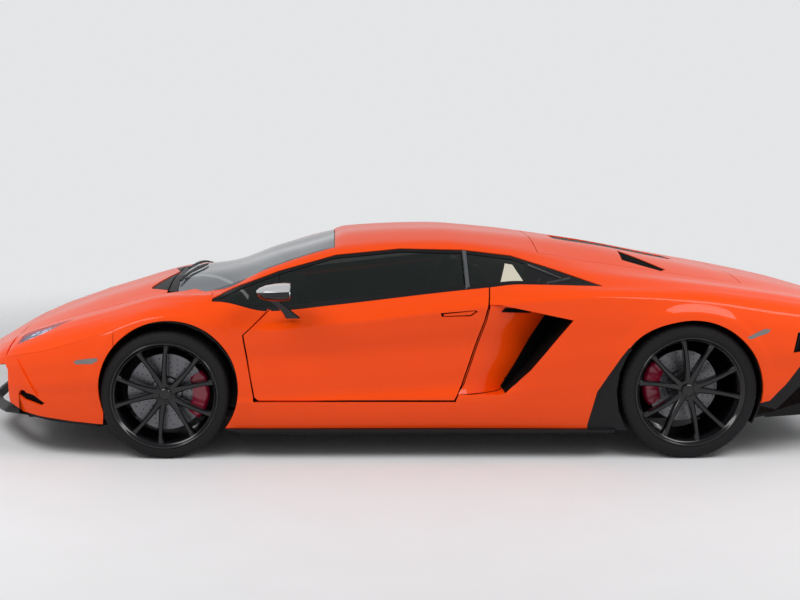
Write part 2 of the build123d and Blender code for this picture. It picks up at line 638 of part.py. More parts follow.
# ------------------------------------------------------------------ structure
def tub():
    """Floor, bulkheads and frame rails, with the front luggage bay between the front wheels."""
    front_x, rear_x = FRONT_AXLE_X + 375, REAR_AXLE_X - 380
    end_x = REAR_AXLE_X + 400
    body = block(-2098, front_x, -FRONT_BAY_HALF_WIDTH, FRONT_BAY_HALF_WIDTH, FLOOR_Z, FLOOR_TOP_Z)
    body += block(front_x, rear_x, -FLOOR_HALF_WIDTH, FLOOR_HALF_WIDTH, FLOOR_Z, FLOOR_TOP_Z)
    body += block(rear_x, end_x, -REAR_BAY_HALF_WIDTH, REAR_BAY_HALF_WIDTH, FLOOR_Z, FLOOR_TOP_Z)
    body += block(front_x, front_x + 25, -690, 690, FLOOR_TOP_Z - 1, 700)
    body += block(FIREWALL_X, FIREWALL_X + 20, -690, 690, FLOOR_TOP_Z - 1, 880)
    body += block(-900, FIREWALL_X + 1, -120, 120, FLOOR_TOP_Z - 1, 340)
    for side in (-1, 1):
        y0, y1 = sorted((side * FRONT_RAIL_Y, side * (FRONT_RAIL_Y + 70)))
        body += block(-2050, front_x + 1, y0, y1, FLOOR_TOP_Z - 1, 400)
        y0, y1 = sorted((side * (REAR_RAIL_Y - 60), side * REAR_RAIL_Y))
        body += block(FIREWALL_X + 19, end_x, y0, y1, FLOOR_TOP_Z - 1, 300)
        body += block(FIREWALL_X + 19, end_x + 320, y0, y1, 430, 500)
        for x in (REAR_AXLE_X - 320, REAR_AXLE_X + 300):
            body += block(x, x + 40, y0, y1, 299, 431)
    bay = prism_y([(-2040, 395), (-2040, 530), (-1400, 755), (-1400, 395)], -470, 470)
    bay -= prism_y([(-2030, 405), (-2030, 600), (-1410, 800), (-1410, 405)], -460, 460)
    body += bay
    front = wheelhouse(FRONT_WHEEL, STEER_CLEARANCE + LINER + SEAT_GAP, FRONT_BAY_HALF_WIDTH + 5, 1000)
    body -= front
    body -= mirrored(front)
    rear = arch(REAR_WHEEL, REAR_BAY_HALF_WIDTH + 20, 1200, 14)
    return body - rear - mirrored(rear)


FILLER_FACE_Y = 982.0        # outer face of the black panel ahead of the rear wheel


def arch_filler():
    """The panel ahead of the rear wheel, on a rim that joins it to the wheelhouse liner."""
    wheel = REAR_WHEEL
    inside = wheelhouse(wheel, REAR_CLEARANCE, 900, 1200)
    panel = prism_y(FILLER_OUTLINE, FILLER_FACE_Y - 10, FILLER_FACE_Y, -SEAT_GAP) - inside
    rim = wheelhouse(wheel, REAR_CLEARANCE + LINER, 950, FILLER_FACE_Y) - inside
    return panel + (rim & prism_y(FILLER_OUTLINE, 900, 1000, -SEAT_GAP) &
                    block(0, 2000, 900, 1000, SILL_TOP_Z + 1, 700))


def wheel_liners():
    """Wheelhouse liners; each inner wall has a window for the suspension arms and shafts."""
    made = []
    for wheel, clearance, inner_y, outer_y in (
            (FRONT_WHEEL, STEER_CLEARANCE, FRONT_BAY_HALF_WIDTH + 7, LINER_OUTER_Y),
            (REAR_WHEEL, REAR_CLEARANCE, REAR_BAY_HALF_WIDTH + 22, 955.0)):
        x, z = wheel["x"], wheel["radius"]
        shell = wheelhouse(wheel, clearance + LINER, inner_y, outer_y)
        shell -= wheelhouse(wheel, clearance, inner_y + LINER, outer_y + 1)
        shell &= block(x - 500, x + 500, 0, 1200, FLOOR_TOP_Z + 20, 1200)
        sill_side = 1 if wheel is FRONT_WHEEL else -1
        reach = sorted((x, x + sill_side * 500))
        shell -= block(*reach, TUB_HALF_WIDTH - 10, 1200, 0, SILL_TOP_Z + SEAT_GAP)
        shell -= block(x - 170, x + 170, inner_y - 1, inner_y + LINER + 1, 0, z + 190)
        made.append(shell)
    made[1] += arch_filler()
    return both(group(*made))


def arms(x, inner_y, outer_y, heights, spread):
    """Upper and lower wishbones, joined by the vertical eyes that hold the knuckle."""
    made = []
    for z in heights:
        eye = Pos(x, outer_y, z) * extrude(RegularPolygon(24, 8), 15, both=True)
        pair = rod((x, outer_y, z), (x - spread, inner_y, z), 13)
        pair += rod((x, outer_y, z), (x + spread, inner_y, z), 13)
        pair += eye
        made.append(pair & block(x - 400, x + 400, inner_y + SEAT_GAP, 1000, 0, 900))
    return made


def front_suspension():
    return both(group(*arms(FRONT_AXLE_X, FRONT_RAIL_Y + 70, KINGPIN_Y, (190, 470), 130)))


def front_knuckle():
    """Upright with its hub carrier; it turns about the vertical line through its two lugs."""
    x, z = FRONT_AXLE_X, FRONT_WHEEL["radius"]
    body = block(x - 24, x + 24, KINGPIN_Y - 20, KINGPIN_Y + 14, 205.3, 454.7)
    return body + drum_with_sides(x, z, HUB_RADIUS, KINGPIN_Y - 40, KINGPIN_Y + HUB_REACH, 16)


def caliper(wheel, direction, face_y):
    """A caliper over the disc's edge, ahead of the axle (-1) or behind it (+1)."""
    x, z, disc = wheel["x"], wheel["radius"], wheel["disc"]
    middle = face_y + DISC_THICKNESS / 2
    body = tube(x, z, disc + 24, disc - 62, middle - 52, middle + 29, CALIPER_SIDES)
    body -= drum_with_sides(x, z, disc + 5, middle - DISC_THICKNESS / 2 - 4,
                            middle + DISC_THICKNESS / 2 + 4, CALIPER_SIDES)
    reach = sorted((x + direction * 90, x + direction * 400))
    body &= block(*reach, 0, 1200, z - 105, z + 105)
    reach = sorted((x + direction * (HUB_RADIUS + SEAT_GAP), x + direction * 145))
    return body + block(*reach, middle - 50, face_y - 5, z - 30, z + 30)


CALIPER_SIDES = 20
REAR_KNUCKLE_Y = 760.0
HUB_REACH = 28.0             # from the knuckle's middle out to its hub face
FRONT_DISC_Y = KINGPIN_Y + HUB_REACH + SEAT_GAP
REAR_DISC_Y = REAR_KNUCKLE_Y + HUB_REACH + SEAT_GAP


def rear_suspension():
    x, z = REAR_AXLE_X, REAR_WHEEL["radius"]
    knuckle = block(x - 26, x + 26, REAR_KNUCKLE_Y - 22, REAR_KNUCKLE_Y + 12, 230.3, 469.7)
    knuckle += drum_with_sides(x, z, HUB_RADIUS, REAR_KNUCKLE_Y - 40, REAR_KNUCKLE_Y + HUB_REACH,
                               16)
    shaft = drum_with_sides(x, z, 22, 150 + SEAT_GAP, REAR_KNUCKLE_Y - 40 - SEAT_GAP, 12)
    return both(group(knuckle, shaft, *arms(x, REAR_RAIL_Y, REAR_KNUCKLE_Y, (215, 485), 130)))


def engine():
    """The engine as one plain block with its final drive behind it."""
    rear_x = REAR_AXLE_X - 155
    body = block(FIREWALL_X + 85, rear_x, -330, 330, FLOOR_TOP_Z + SEAT_GAP, 760)
    return body + block(rear_x - 1, rear_x + 335, -150, 150, FLOOR_TOP_Z + SEAT_GAP, 520)


# ------------------------------------------------------------------ wheels
def tyre(wheel):
    """Tyre ring about the wheel's axis, made at the origin with the outside at +Y."""
    radius, half = wheel["radius"], wheel["width"] / 2
    bore = wheel["flange"] - RIM_LIP + SEAT_GAP
    side = half - FLANGE_THICKNESS - SEAT_GAP
    profile = [(bore, -side), (radius - SHOULDER, -side), (radius, 2 * SHOULDER - half),
               (radius, half - 2 * SHOULDER), (radius - SHOULDER, half),
               (wheel["flange"] + 2, side), (bore, side)]
    return turned(profile, WHEEL_SIDES)


def spoke(wheel, angle, lean):
    """One tip of a Y: a tapered bar from the hub out to the rim."""
    half = wheel["width"] / 2
    tip = wheel["flange"] - RIM_LIP - RIM_WALL + 3
    rings = []
    for r, face_y, depth, width, swing in ((HUB_RADIUS - 14, half - 48, 46, 26, 0.45 * lean),
                                           (tip, half - 22, 40, SPOKE_WIDTH, lean)):
        turn = math.radians(angle + swing)
        cx, cz = r * math.cos(turn), r * math.sin(turn)
        tx, tz = -math.sin(turn) * width / 2, math.cos(turn) * width / 2
        rings.append([(cx + tx, face_y, cz + tz), (cx - tx, face_y, cz - tz),
                      (cx - tx, face_y - depth, cz - tz), (cx + tx, face_y - depth, cz + tz)])
    return skinned(rings)


def rim(wheel):
    """Barrel with a thin flange outside the tyre, and the hub and spokes inside it."""
    half, flange = wheel["width"] / 2, wheel["flange"]
    seat, step = flange - RIM_LIP, half - FLANGE_THICKNESS
    body = turned([(flange, half), (flange, step), (seat, step), (seat, 16 - half),
                   (seat - RIM_WALL, 16 - half), (seat - RIM_WALL, half)], WHEEL_SIDES)
    body += drum_with_sides(0, 0, HUB_RADIUS, half - 102, half - 48, 2 * SPOKES)
    body += drum_with_sides(0, 0, CAP_RADIUS, half - 108, half - 44, 2 * SPOKES)
    body += drum(0, 0, CAP_RADIUS / 5, half - 45, half - 41)
    for k in range(SPOKES):
        for lean in (-SPOKE_SPREAD, SPOKE_SPREAD):
            body += spoke(wheel, 90 + k * 360 / SPOKES, lean)
    return body


def disc(wheel, inner_y, outer_y):
    """Brake disc; its bell reaches out to the wheel's hub."""
    body = drum_with_sides(0, 0, wheel["disc"], inner_y, inner_y + DISC_THICKNESS, WHEEL_SIDES)
    return body + drum_with_sides(0, 0, 80, inner_y, outer_y - SEAT_GAP, 2 * SPOKES)


def save_wheel(name, wheel, disc_y):
    place = Pos(wheel["x"], wheel["track_y"], wheel["radius"])
    hub_back = wheel["width"] / 2 - 102
    made_tyre = place * tyre(wheel)
    made_rim = group(place * rim(wheel), place * disc(wheel, disc_y - wheel["track_y"], hub_back))
    save(f"tyre_{name}_right", made_tyre)
    save(f"tyre_{name}_left", mirrored(made_tyre))
    save(f"wheel_{name}_right", made_rim)
    save(f"wheel_{name}_left", mirrored(made_rim))


# ------------------------------------------------------------------ cabin
STEERING_TILT = 22.0         # slope of the steering column in degrees
STEERING_PLANE = Plane(origin=(-560, -360, 690), x_dir=(0, 1, 0),
                       z_dir=(math.cos(math.radians(STEERING_TILT)), 0,
                              math.sin(math.radians(STEERING_TILT))))


def seats():
    """Two bucket seats: a cushion and back between raised bolsters."""
    front, rear = -480, FIREWALL_X - 25
    cushion = [(front, 160.5), (front - 20, 330), (front + 40, 350), (-60, 270), (30, 300),
               (190, 880), (225, 950), (rear - 5, 950), (rear, 930), (180, 400), (150, 160.5)]
    bolster = [(front + 20, 160.5), (front, 345), (front + 70, 385), (-110, 330), (-70, 350),
               (60, 560), (165, 850), (200, 880), (rear - 40, 870), (180, 400), (150, 160.5)]
    seat = prism_y(cushion, 205, 575)
    for y in (145, 574):
        seat += prism_y(bolster, y, y + 61)
    head = prism_y([(185, 860), (225, 952), (rear - 5, 950), (rear - 20, 850)], 250, 530)
    return both(seat + head)


def dashboard():
    outline = [(-919.7, 520), (-919.7, 760), (-760, 800), (-640, 760), (-620, 690), (-700, 560)]
    column = STEERING_PLANE * Pos(0, 0, -90) * Cylinder(32, 89)
    return prism_y(outline, -685, 685) + column


def steering_wheel():
    """Rim, hub and column; the driver sits on the left."""
    ring = extrude(RegularPolygon(190, 24) - RegularPolygon(163, 24), 13, both=True)
    spokes = Box(340, 40, 14) + Pos(0, -90, 0) * Box(60, 150, 14)
    hub = extrude(RegularPolygon(48, 12), 20, both=True)
    column = Pos(0, 0, -30) * Cylinder(24, 30.4)
    return STEERING_PLANE * (ring + spokes + hub + column)


PIECES = {
    "front_bumper": front_bumper,
    "splitter": splitter,
    "front_radiators": front_radiators,
    "headlamps": headlamps,
    "fenders": fenders,
    "front_lid": front_lid,
    "cowl": cowl,
    "windscreen": windscreen,
    "roof": roof,
    "fixed_glass": fixed_glass,
    "quarter_vents": quarter_vents,
    "quarters": quarters,
    "sills": sills,
    "engine_cover": engine_cover,
    "rear_deck": rear_deck,
    "rear_bumper": rear_bumper,
    "tail_lamps": tail_lamps,
    "diffuser": diffuser,
    "tub": tub,
    "wheel_liners": wheel_liners,
    "front_suspension": front_suspension,
    "rear_suspension": rear_suspension,
    "rear_calipers": lambda: both(caliper(REAR_WHEEL, -1, REAR_DISC_Y)),
    "engine": engine,
    "seats": seats,
    "dashboard": dashboard,
    "steering_wheel": steering_wheel,
}
PAIRED_PIECES = {
    "door": door,
    "door_glass": door_glass,
    "mirror": mirror,
    "front_knuckle": front_knuckle,
    "front_caliper": lambda: caliper(FRONT_WHEEL, 1, FRONT_DISC_Y),
}

for name, make in PIECES.items():
    save(name, make())
for name, make in PAIRED_PIECES.items():
    right = make()
    save(f"{name}_right", right)
    save(f"{name}_left", mirrored(right))
save_wheel("front", FRONT_WHEEL, FRONT_DISC_Y)
save_wheel("rear", REAR_WHEEL, REAR_DISC_Y)
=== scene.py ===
"""A low two-seat mid-engined supercar, dressed over its CAD frame.

Body panels are cut from one smooth surface through a table of cross-sections that has the
creases of the CAD sections. Tables are in millimetres; meshes and the camera are in metres.
"""
import math

import bmesh
import bpy
import numpy as np
from mathutils import Matrix, Vector
from mathutils.geometry import delaunay_2d_cdt


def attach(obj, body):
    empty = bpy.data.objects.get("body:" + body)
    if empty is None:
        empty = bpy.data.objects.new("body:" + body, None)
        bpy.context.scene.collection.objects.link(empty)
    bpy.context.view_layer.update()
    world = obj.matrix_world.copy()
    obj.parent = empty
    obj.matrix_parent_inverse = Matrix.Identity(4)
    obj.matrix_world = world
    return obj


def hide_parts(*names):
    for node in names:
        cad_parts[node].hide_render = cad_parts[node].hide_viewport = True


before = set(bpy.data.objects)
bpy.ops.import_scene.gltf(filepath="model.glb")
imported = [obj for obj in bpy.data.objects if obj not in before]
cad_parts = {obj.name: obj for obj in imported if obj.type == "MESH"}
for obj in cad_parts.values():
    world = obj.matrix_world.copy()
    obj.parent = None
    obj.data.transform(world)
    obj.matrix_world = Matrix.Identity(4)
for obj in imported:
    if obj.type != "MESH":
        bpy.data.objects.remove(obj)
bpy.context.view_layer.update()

MM = 0.001
LOW, SIDE, _, FLANK, WAIST, BELT, RAIL, CROWN = range(8)     # the creases, from the bottom up
ACROSS = 2 * CROWN           # a place v on the right-hand half is ACROSS - v on the left

# x, then (y, z) of each crease from the bottom edge up, then the centreline height
SECTIONS = [
    (-2398, (240, 160), (300, 250), (312, 275), (330, 320), (330, 370), (300, 408), (200, 424), 430),
    (-2180, (720, 160), (780, 270), (786, 305), (800, 400), (780, 490), (690, 530), (460, 548), 560),
    (-1900, (905, 160), (935, 290), (938, 330), (945, 430), (920, 560), (790, 632), (580, 650), 680),
    (-1650, (950, 160), (970, 290), (974, 340), (985, 480), (955, 640), (820, 703), (620, 724), 770),
    (-1320, (960, 160), (985, 295), (988, 360), (995, 560), (965, 740), (840, 790), (640, 812), 865),
    (-1060, (960, 160), (985, 297), (982, 335), (972, 520), (950, 690), (850, 800), (735, 832), 908),
    (-800, (965, 160), (985, 300), (974, 316), (940, 520), (945, 665), (850, 745), (665, 945), 982),
    (-460, (965, 160), (985, 303), (960, 336), (925, 540), (945, 700), (848, 775), (600, 1046), 1082),
    (-400, (965, 160), (985, 304), (958, 340), (925, 545), (946, 705), (849, 782), (592, 1056), 1112),
    (100, (965, 160), (988, 315), (944, 368), (925, 580), (955, 768), (855, 845), (560, 1083), 1136),
    (340, (968, 160), (992, 333), (940, 390), (932, 604), (964, 796), (867, 874), (564, 1068), 1121),
    (500, (970, 160), (995, 345), (994, 385), (972, 620), (970, 815), (875, 893), (566, 1050), 1108),
    (950, (985, 162), (1005, 380), (1007, 440), (1010, 640), (990, 850), (890, 888), (610, 965), 1060),
    (1380, (1000, 165), (1010, 400), (1012, 480), (1015, 700), (975, 830), (890, 872), (640, 905), 975),
    (1800, (985, 200), (1005, 400), (1006, 460), (1008, 640), (960, 770), (870, 822), (640, 850), 888),
    (2150, (930, 280), (955, 430), (955, 475), (955, 600), (915, 715), (830, 765), (620, 790), 806),
    (2398, (800, 330), (835, 450), (838, 490), (840, 580), (815, 660), (740, 705), (560, 725), 740),
]
# the share of a strip that each crease rounds, and the outward swell of each strip
ROUNDING = np.array((0.0, 0.3, 0.3, 0.35, 0.09, 0.12, 0.14, 0.4))
BULGE = np.array((3.0, 1.0, 5.0, 5.0, 6.0, 9.0, 12.0))
FULL_SWELL = 120.0           # a strip this wide or wider has its full swell


# ------------------------------------------------------------------ the body surface
def smooth_slopes(xs, values):
    """Slopes at the table's rows for a smooth line that never overshoots them."""
    steps = np.diff(xs)[:, None]
    secants = np.diff(values, axis=0) / steps
    slopes = np.zeros_like(values)
    slopes[0], slopes[-1] = secants[0], secants[-1]
    before, after = secants[:-1], secants[1:]
    same = before * after > 0
    wa, wb = 2 * steps[1:] + steps[:-1], steps[1:] + 2 * steps[:-1]
    with np.errstate(divide="ignore", invalid="ignore"):
        mean = (wa + wb) / (wa / before + wb / after)
    slopes[1:-1] = np.where(same, mean, 0.0)
    return slopes


ROW_X = np.array([row[0] for row in SECTIONS], float)
ROW_Y = np.array([[p[0] for p in row[1:8]] + [0.0] for row in SECTIONS], float)
ROW_Z = np.array([[p[1] for p in row[1:8]] + [row[8]] for row in SECTIONS], float)
SLOPE_Y, SLOPE_Z = smooth_slopes(ROW_X, ROW_Y), smooth_slopes(ROW_X, ROW_Z)


def creases(x):
    """The creases' (y, z) at each x, as two arrays of one row per x."""
    x = np.clip(x, ROW_X[0], ROW_X[-1])
    i = np.clip(np.searchsorted(ROW_X, x, side="right") - 1, 0, len(ROW_X) - 2)
    h = ROW_X[i + 1] - ROW_X[i]
    t = ((x - ROW_X[i]) / h)[:, None]
    h = h[:, None]
    a, b = 2 * t**3 - 3 * t**2 + 1, t**3 - 2 * t**2 + t
    c, d = 3 * t**2 - 2 * t**3, t**3 - t**2
    return tuple(a * rows[i] + b * h * slopes[i] + c * rows[i + 1] + d * h * slopes[i + 1]
                 for rows, slopes in ((ROW_Y, SLOPE_Y), (ROW_Z, SLOPE_Z)))


def along(rows, v):
    """Straight between creases, with the strip and the share of it where v lies."""
    w = np.where(v > CROWN, ACROSS - v, v)
    k = np.clip(np.floor(w).astype(int), 0, CROWN - 1)
    n = np.arange(len(v))
    value = rows[n, k] + (rows[n, k + 1] - rows[n, k]) * (w - k)
    return value, k, w - k


# wheel arches, front and rear: x and z of the centre, and radius of the opening
ARCHES = ((-1297.0, 366.0, 352.0), (1380.0, 355.0, 377.0))
FRONT, REAR = 0, 1
REAR_ARCH_OPENING = 28.0     # the rear arch widens ahead of the wheel by this much
FLARE_HEIGHT, FLARE_NEAR, FLARE_FAR = 8.0, 42.0, 78.0
FLARE_LOW_Z, FLARE_RISE = 240, 120


def flare(x, z):
    """How far the body swells round the wheel arches."""
    height = np.zeros_like(x)
    for cx, cz, radius in ARCHES:
        t = (FLARE_FAR - (np.hypot(x - cx, z - cz) - radius)) / (FLARE_FAR - FLARE_NEAR)
        t = np.clip(t, 0, 1)
        height = np.maximum(height, FLARE_HEIGHT * t * t * (3 - 2 * t))
    return height * np.clip((z - FLARE_LOW_Z) / FLARE_RISE, 0, 1)


def surface(x, v):
    """Points of the body surface at each (x, v); v runs from LOW on the right to LOW on the left."""
    x, v = np.asarray(x, float), np.asarray(v, float)
    left = v > CROWN
    v = np.where(left, ACROSS - v, v)
    rows_y, rows_z = creases(x)
    y, k, t = along(rows_y, v)
    z = along(rows_z, v)[0]
    near = np.clip(np.round(v).astype(int), 1, CROWN)
    reach = ROUNDING[near]
    rounded = (np.abs(v - near) < reach) & (v > 0)
    n = np.arange(len(v))
    s = np.where(rounded, (v - near + reach) / (2 * np.maximum(reach, 1e-6)), 0.0)
    ya, za = along(rows_y, near - reach)[0], along(rows_z, near - reach)[0]
    yb, zb = along(rows_y, near + reach)[0], along(rows_z, near + reach)[0]
    yb = np.where(near == CROWN, -yb, yb)
    yc, zc = rows_y[n, near], rows_z[n, near]
    y = np.where(rounded, (1 - s)**2 * ya + 2 * s * (1 - s) * yc + s * s * yb, y)
    z = np.where(rounded, (1 - s)**2 * za + 2 * s * (1 - s) * zc + s * s * zb, z)
    dy, dz = rows_y[n, k + 1] - rows_y[n, k], rows_z[n, k + 1] - rows_z[n, k]
    length = np.maximum(np.hypot(dy, dz), 1e-6)
    swell = BULGE[k] * np.sin(math.pi * t)**2 * np.clip(length / FULL_SWELL, 0, 1)
    y, z = y + swell * dz / length, z - swell * dy / length
    y = y + np.where(v < BELT, flare(x, z), 0.0)
    return np.stack([x, np.where(left, -y, y), z], axis=1)


STEP_X, STEP_V = 3, 0.02     # how far apart the points are that give a normal


def normals(x, v):
    """Outward unit normals of the body surface."""
    x, v = np.asarray(x, float), np.asarray(v, float)
    ahead = surface(x + STEP_X, v) - surface(x - STEP_X, v)
    around = surface(x, np.minimum(v + STEP_V, ACROSS)) - surface(x, np.maximum(v - STEP_V, 0))
    normal = np.cross(around, ahead)
    return normal / np.maximum(np.linalg.norm(normal, axis=1), 1e-9)[:, None]


# ------------------------------------------------------------------ outlines on the surface
V_SCALE = 150.0              # one strip counts as this many millimetres when points are spread


def dense(points, step=14.0):
    """The polyline with points added so that none lie further apart than step."""
    made = [points[0]]
    for a, b in zip(points, points[1:]):
        count = max(1, math.ceil(math.dist(a, b) / step))
        made += [tuple(p + (q - p) * k / count for p, q in zip(a, b)) for k in range(1, count + 1)]
    return made


def seen(points, step, v, axis, sign):
    """Where on the sections v the line's points (x, axis) lie, as seen along the other axis."""
    points = np.array(dense(points, step))
    rows = surface(np.repeat(points[:, 0], len(v)), np.tile(v, len(points)))[:, axis] * sign
    rows = np.maximum.accumulate(rows.reshape(len(points), -1), axis=1)
    return [(x, float(np.interp(sign * w, row, v))) for (x, w), row in zip(points, rows)]


def seen_from_side(points, step=14.0):
    """A side-view line (x, z) as (x, v) on the right-hand half."""
    return seen(points, step, np.linspace(0, CROWN, 421), 2, 1)


def seen_from_above(points, step=14.0):
    """A plan-view line (x, y) as (x, v) on the right-hand half, above the waist."""
    return seen(points, step, np.linspace(WAIST, CROWN, 241), 1, -1)


def on_crease(v, x0, x1):
    return [(x, w / V_SCALE) for x, w in dense([(x0, v * V_SCALE), (x1, v * V_SCALE)], 20.0)]


def at_x(x, v0, v1):
    return [(p, w / V_SCALE) for p, w in dense([(x, v0 * V_SCALE), (x, v1 * V_SCALE)], 14.0)]


def arch_line(which, start, end, steps=48):
    """Side-view points of a wheel arch from angle start to end, in degrees from +X towards +Z."""
    cx, cz, radius = ARCHES[which]
    made = []
    for k in range(steps + 1):
        turn = math.radians(start + (end - start) * k / steps)
        r = radius
        if which == REAR:
            wide = min(max((math.degrees(turn) - 100) / 45, 0), 1)
            r += REAR_ARCH_OPENING * wide * wide * (3 - 2 * wide)
        made.append((cx + r * math.cos(turn), cz + r * math.sin(turn)))
    return made


def inside(points, loop):
    """Which of the points lie inside the closed loop."""
    px, py = points[:, 0][:, None], points[:, 1][:, None]
    a = np.array(loop)
    b = np.roll(a, -1, axis=0)
    crosses = (a[:, 1] > py) != (b[:, 1] > py)
    with np.errstate(divide="ignore", invalid="ignore"):
        cut = (b[:, 0] - a[:, 0]) * (py - a[:, 1]) / (b[:, 1] - a[:, 1]) + a[:, 0]
    return (np.sum(crosses & (px < cut), axis=1) % 2) == 1


def clean(loop, least=2.0):
    """The loop without points that lie almost on the one before."""
    made = []
    for point in loop:
        if not made or math.dist(point, made[-1]) > least:
            made.append(point)
    while len(made) > 2 and math.dist(made[0], made[-1]) <= least:
        made.pop()
    return made


def within(points, loops):
    """Which points lie inside the first loop and outside the others."""
    keep = inside(points, loops[0])
    for loop in loops[1:]:
        keep &= ~inside(points, loop)
    return keep


BORDER_CLEARANCE, BATCH = 7.0, 2000        # inner points keep off the loops; points per batch


def filled(loops, xs, ys):
    """Triangles that fill the first loop and leave out the others, with a grid of inner points."""
    grid = np.array([(x, y) for x in xs for y in ys], float).reshape(-1, 2)
    loops = [clean(loop) for loop in loops]
    border = np.vstack([np.array(loop) for loop in loops])
    if len(grid):
        grid = grid[within(grid, loops)]
        apart = np.empty(len(grid))
        for start in range(0, len(grid), BATCH):
            part = grid[start:start + BATCH, None]
            gaps = np.hypot(part[:, :, 0] - border[None, :, 0], part[:, :, 1] - border[None, :, 1])
            apart[start:start + BATCH] = np.min(gaps, axis=1)
        grid = grid[apart > BORDER_CLEARANCE]
    points = np.vstack([border, grid]) if len(grid) else border
    edges, start = [], 0
    for loop in loops:
        edges += [(start + k, start + (k + 1) % len(loop)) for k in range(len(loop))]
        start += len(loop)
    made = delaunay_2d_cdt([Vector(p) for p in points * MM], edges, [], 0, 1e-7)
    verts = np.array([tuple(p) for p in made[0]]) / MM
    faces = np.array([f for f in made[2] if len(f) == 3])
    return verts, faces[within(verts[faces].mean(axis=1), loops)]


# ------------------------------------------------------------------ meshes
def mesh_object(name, verts, faces, look, sharp=38.0):
    """A piece from points in millimetres."""
    mesh = bpy.data.meshes.new(name)
    mesh.from_pydata([tuple(float(c) * MM for c in p) for p in verts], [],
                     [tuple(int(i) for i in f) for f in faces])
    mesh.validate()
    mesh.shade_smooth()
    mesh.set_sharp_from_angle(angle=math.radians(sharp))
    mesh.materials.append(look)
    made = bpy.data.objects.new(name, mesh)
    bpy.context.collection.objects.link(made)
    return made


def with_return(points, faces, outward, depth):
    """The sheet with its edges turned in by depth against the outward directions."""
    border = {}
    for f in faces:
        for a, b in ((f[0], f[1]), (f[1], f[2]), (f[2], f[0])):
            if (b, a) in border:
                del border[(b, a)]
            else:
                border[(a, b)] = True
    used = sorted({i for edge in border for i in edge})
    index = {i: len(points) + k for k, i in enumerate(used)}
    inner = points[used] - outward[used] * depth
    sides = [(b, a, index[a], index[b]) for a, b in border]
    return np.vstack([points, inner]), [tuple(f) for f in faces] + sides


# ------------------------------------------------------------------ materials
def add_node(tree, kind, **values):
    """A shader node with its inputs set; an underscore in a name stands for a space."""
    made = tree.nodes.new("ShaderNode" + kind)
    for socket, value in values.items():
        made.inputs[socket.replace("_", " ")].default_value = value
    return made


def wire(tree, source, output, target, socket):
    tree.links.new(source.outputs[output], target.inputs[socket])


def material(name, colour, roughness=0.4, metallic=0.0, coat=0.0, specular=0.5, alpha=1.0,
             grain=400.0, speckle=0.06, wear=0.08, bump=0.02, glow=0.0):
    """A node material whose colour, roughness and surface vary with a fine grain."""
    made = bpy.data.materials.new(name)
    made.use_nodes = True
    tree = made.node_tree
    shader = tree.nodes["Principled BSDF"]
    where = add_node(tree, "TexCoord")
    fine = add_node(tree, "TexNoise", Scale=grain, Detail=3.0)
    broad = add_node(tree, "TexNoise", Scale=6.0, Detail=4.0)
    wire(tree, where, "Object", fine, "Vector")
    wire(tree, where, "Object", broad, "Vector")
    shade = add_node(tree, "Mix")
    shade.data_type = "RGBA"
    for socket, change in (("A", -speckle), ("B", speckle)):
        shade.inputs[socket].default_value = (*[min(c * (1 + change), 1.0) for c in colour], 1.0)
    wire(tree, fine, "Fac", shade, "Factor")
    wire(tree, shade, "Result", shader, "Base Color")
    rough = add_node(tree, "MapRange", To_Min=max(roughness - wear, 0.0),
                     To_Max=min(roughness + wear, 1.0))
    wire(tree, broad, "Fac", rough, "Value")
    wire(tree, rough, "Result", shader, "Roughness")
    if bump:
        rise = add_node(tree, "Bump", Strength=bump, Distance=0.001)
        wire(tree, fine, "Fac", rise, "Height")
        wire(tree, rise, "Normal", shader, "Normal")
    for socket, value in (("Metallic", metallic), ("Coat Weight", coat), ("Alpha", alpha),
                          ("Specular IOR Level", specular), ("Emission Strength", glow)):
        shader.inputs[socket].default_value = value
    if glow:
        shader.inputs["Emission Color"].default_value = (*colour, 1.0)
    return made


LACQUER = dict(coat=0.45, specular=0.25, grain=900, bump=0.01)
CLEAR = dict(grain=60, speckle=0.02, wear=0.01, bump=0.0)
PAINT = material("paint", (0.84, 0.064, 0.001), 0.42, coat=0.42, specular=0.06, grain=1800,
                 speckle=0.05, wear=0.03, bump=0.01)
GLOSS_BLACK = material("gloss_black", (0.006, 0.006, 0.007), 0.18, wear=0.05, **LACQUER)
SATIN_BLACK = material("satin_black", (0.007, 0.007, 0.008), 0.45, grain=1400, speckle=0.2,
                       bump=0.12, specular=0.22)
DARK = material("dark", (0.004, 0.004, 0.004), 0.8, grain=300, specular=0.05)
RUBBER = material("rubber", (0.010, 0.010, 0.011), 0.72, grain=2200, speckle=0.25, bump=0.2,
                  specular=0.2)
RIM = material("rim", (0.005, 0.005, 0.006), 0.2, wear=0.06, **LACQUER)
STEEL = material("disc_steel", (0.16, 0.16, 0.17), 0.34, metallic=1.0, grain=900, speckle=0.15,
                 wear=0.1, bump=0.06)
ALUMINIUM = material("aluminium", (0.45, 0.45, 0.46), 0.4, metallic=1.0, grain=700, bump=0.05)
CAST = material("cast", (0.06, 0.06, 0.062), 0.55, metallic=0.6, grain=260, speckle=0.3, bump=0.3)
CRIMSON = material("crimson", (0.36, 0.002, 0.035), 0.3, coat=0.6, grain=900, bump=0.02)
LEATHER = material("leather", (0.016, 0.015, 0.015), 0.55, grain=700, speckle=0.25, bump=0.4)
TINT = material("tint", (0.006, 0.009, 0.008), 0.03, alpha=0.84, specular=0.5, **CLEAR)
SCREEN = material("screen", (0.10, 0.115, 0.13), 0.03, alpha=0.86, specular=0.8, **CLEAR)
LENS = material("lens", (0.16, 0.22, 0.42), 0.04, alpha=0.35, specular=0.6, **CLEAR)
RED_LENS = material("red_lens", (0.35, 0.004, 0.004), 0.12, coat=0.8, grain=300, bump=0.02)
LED = material("led", (0.62, 0.72, 0.85), 0.3, grain=300, glow=0.6)
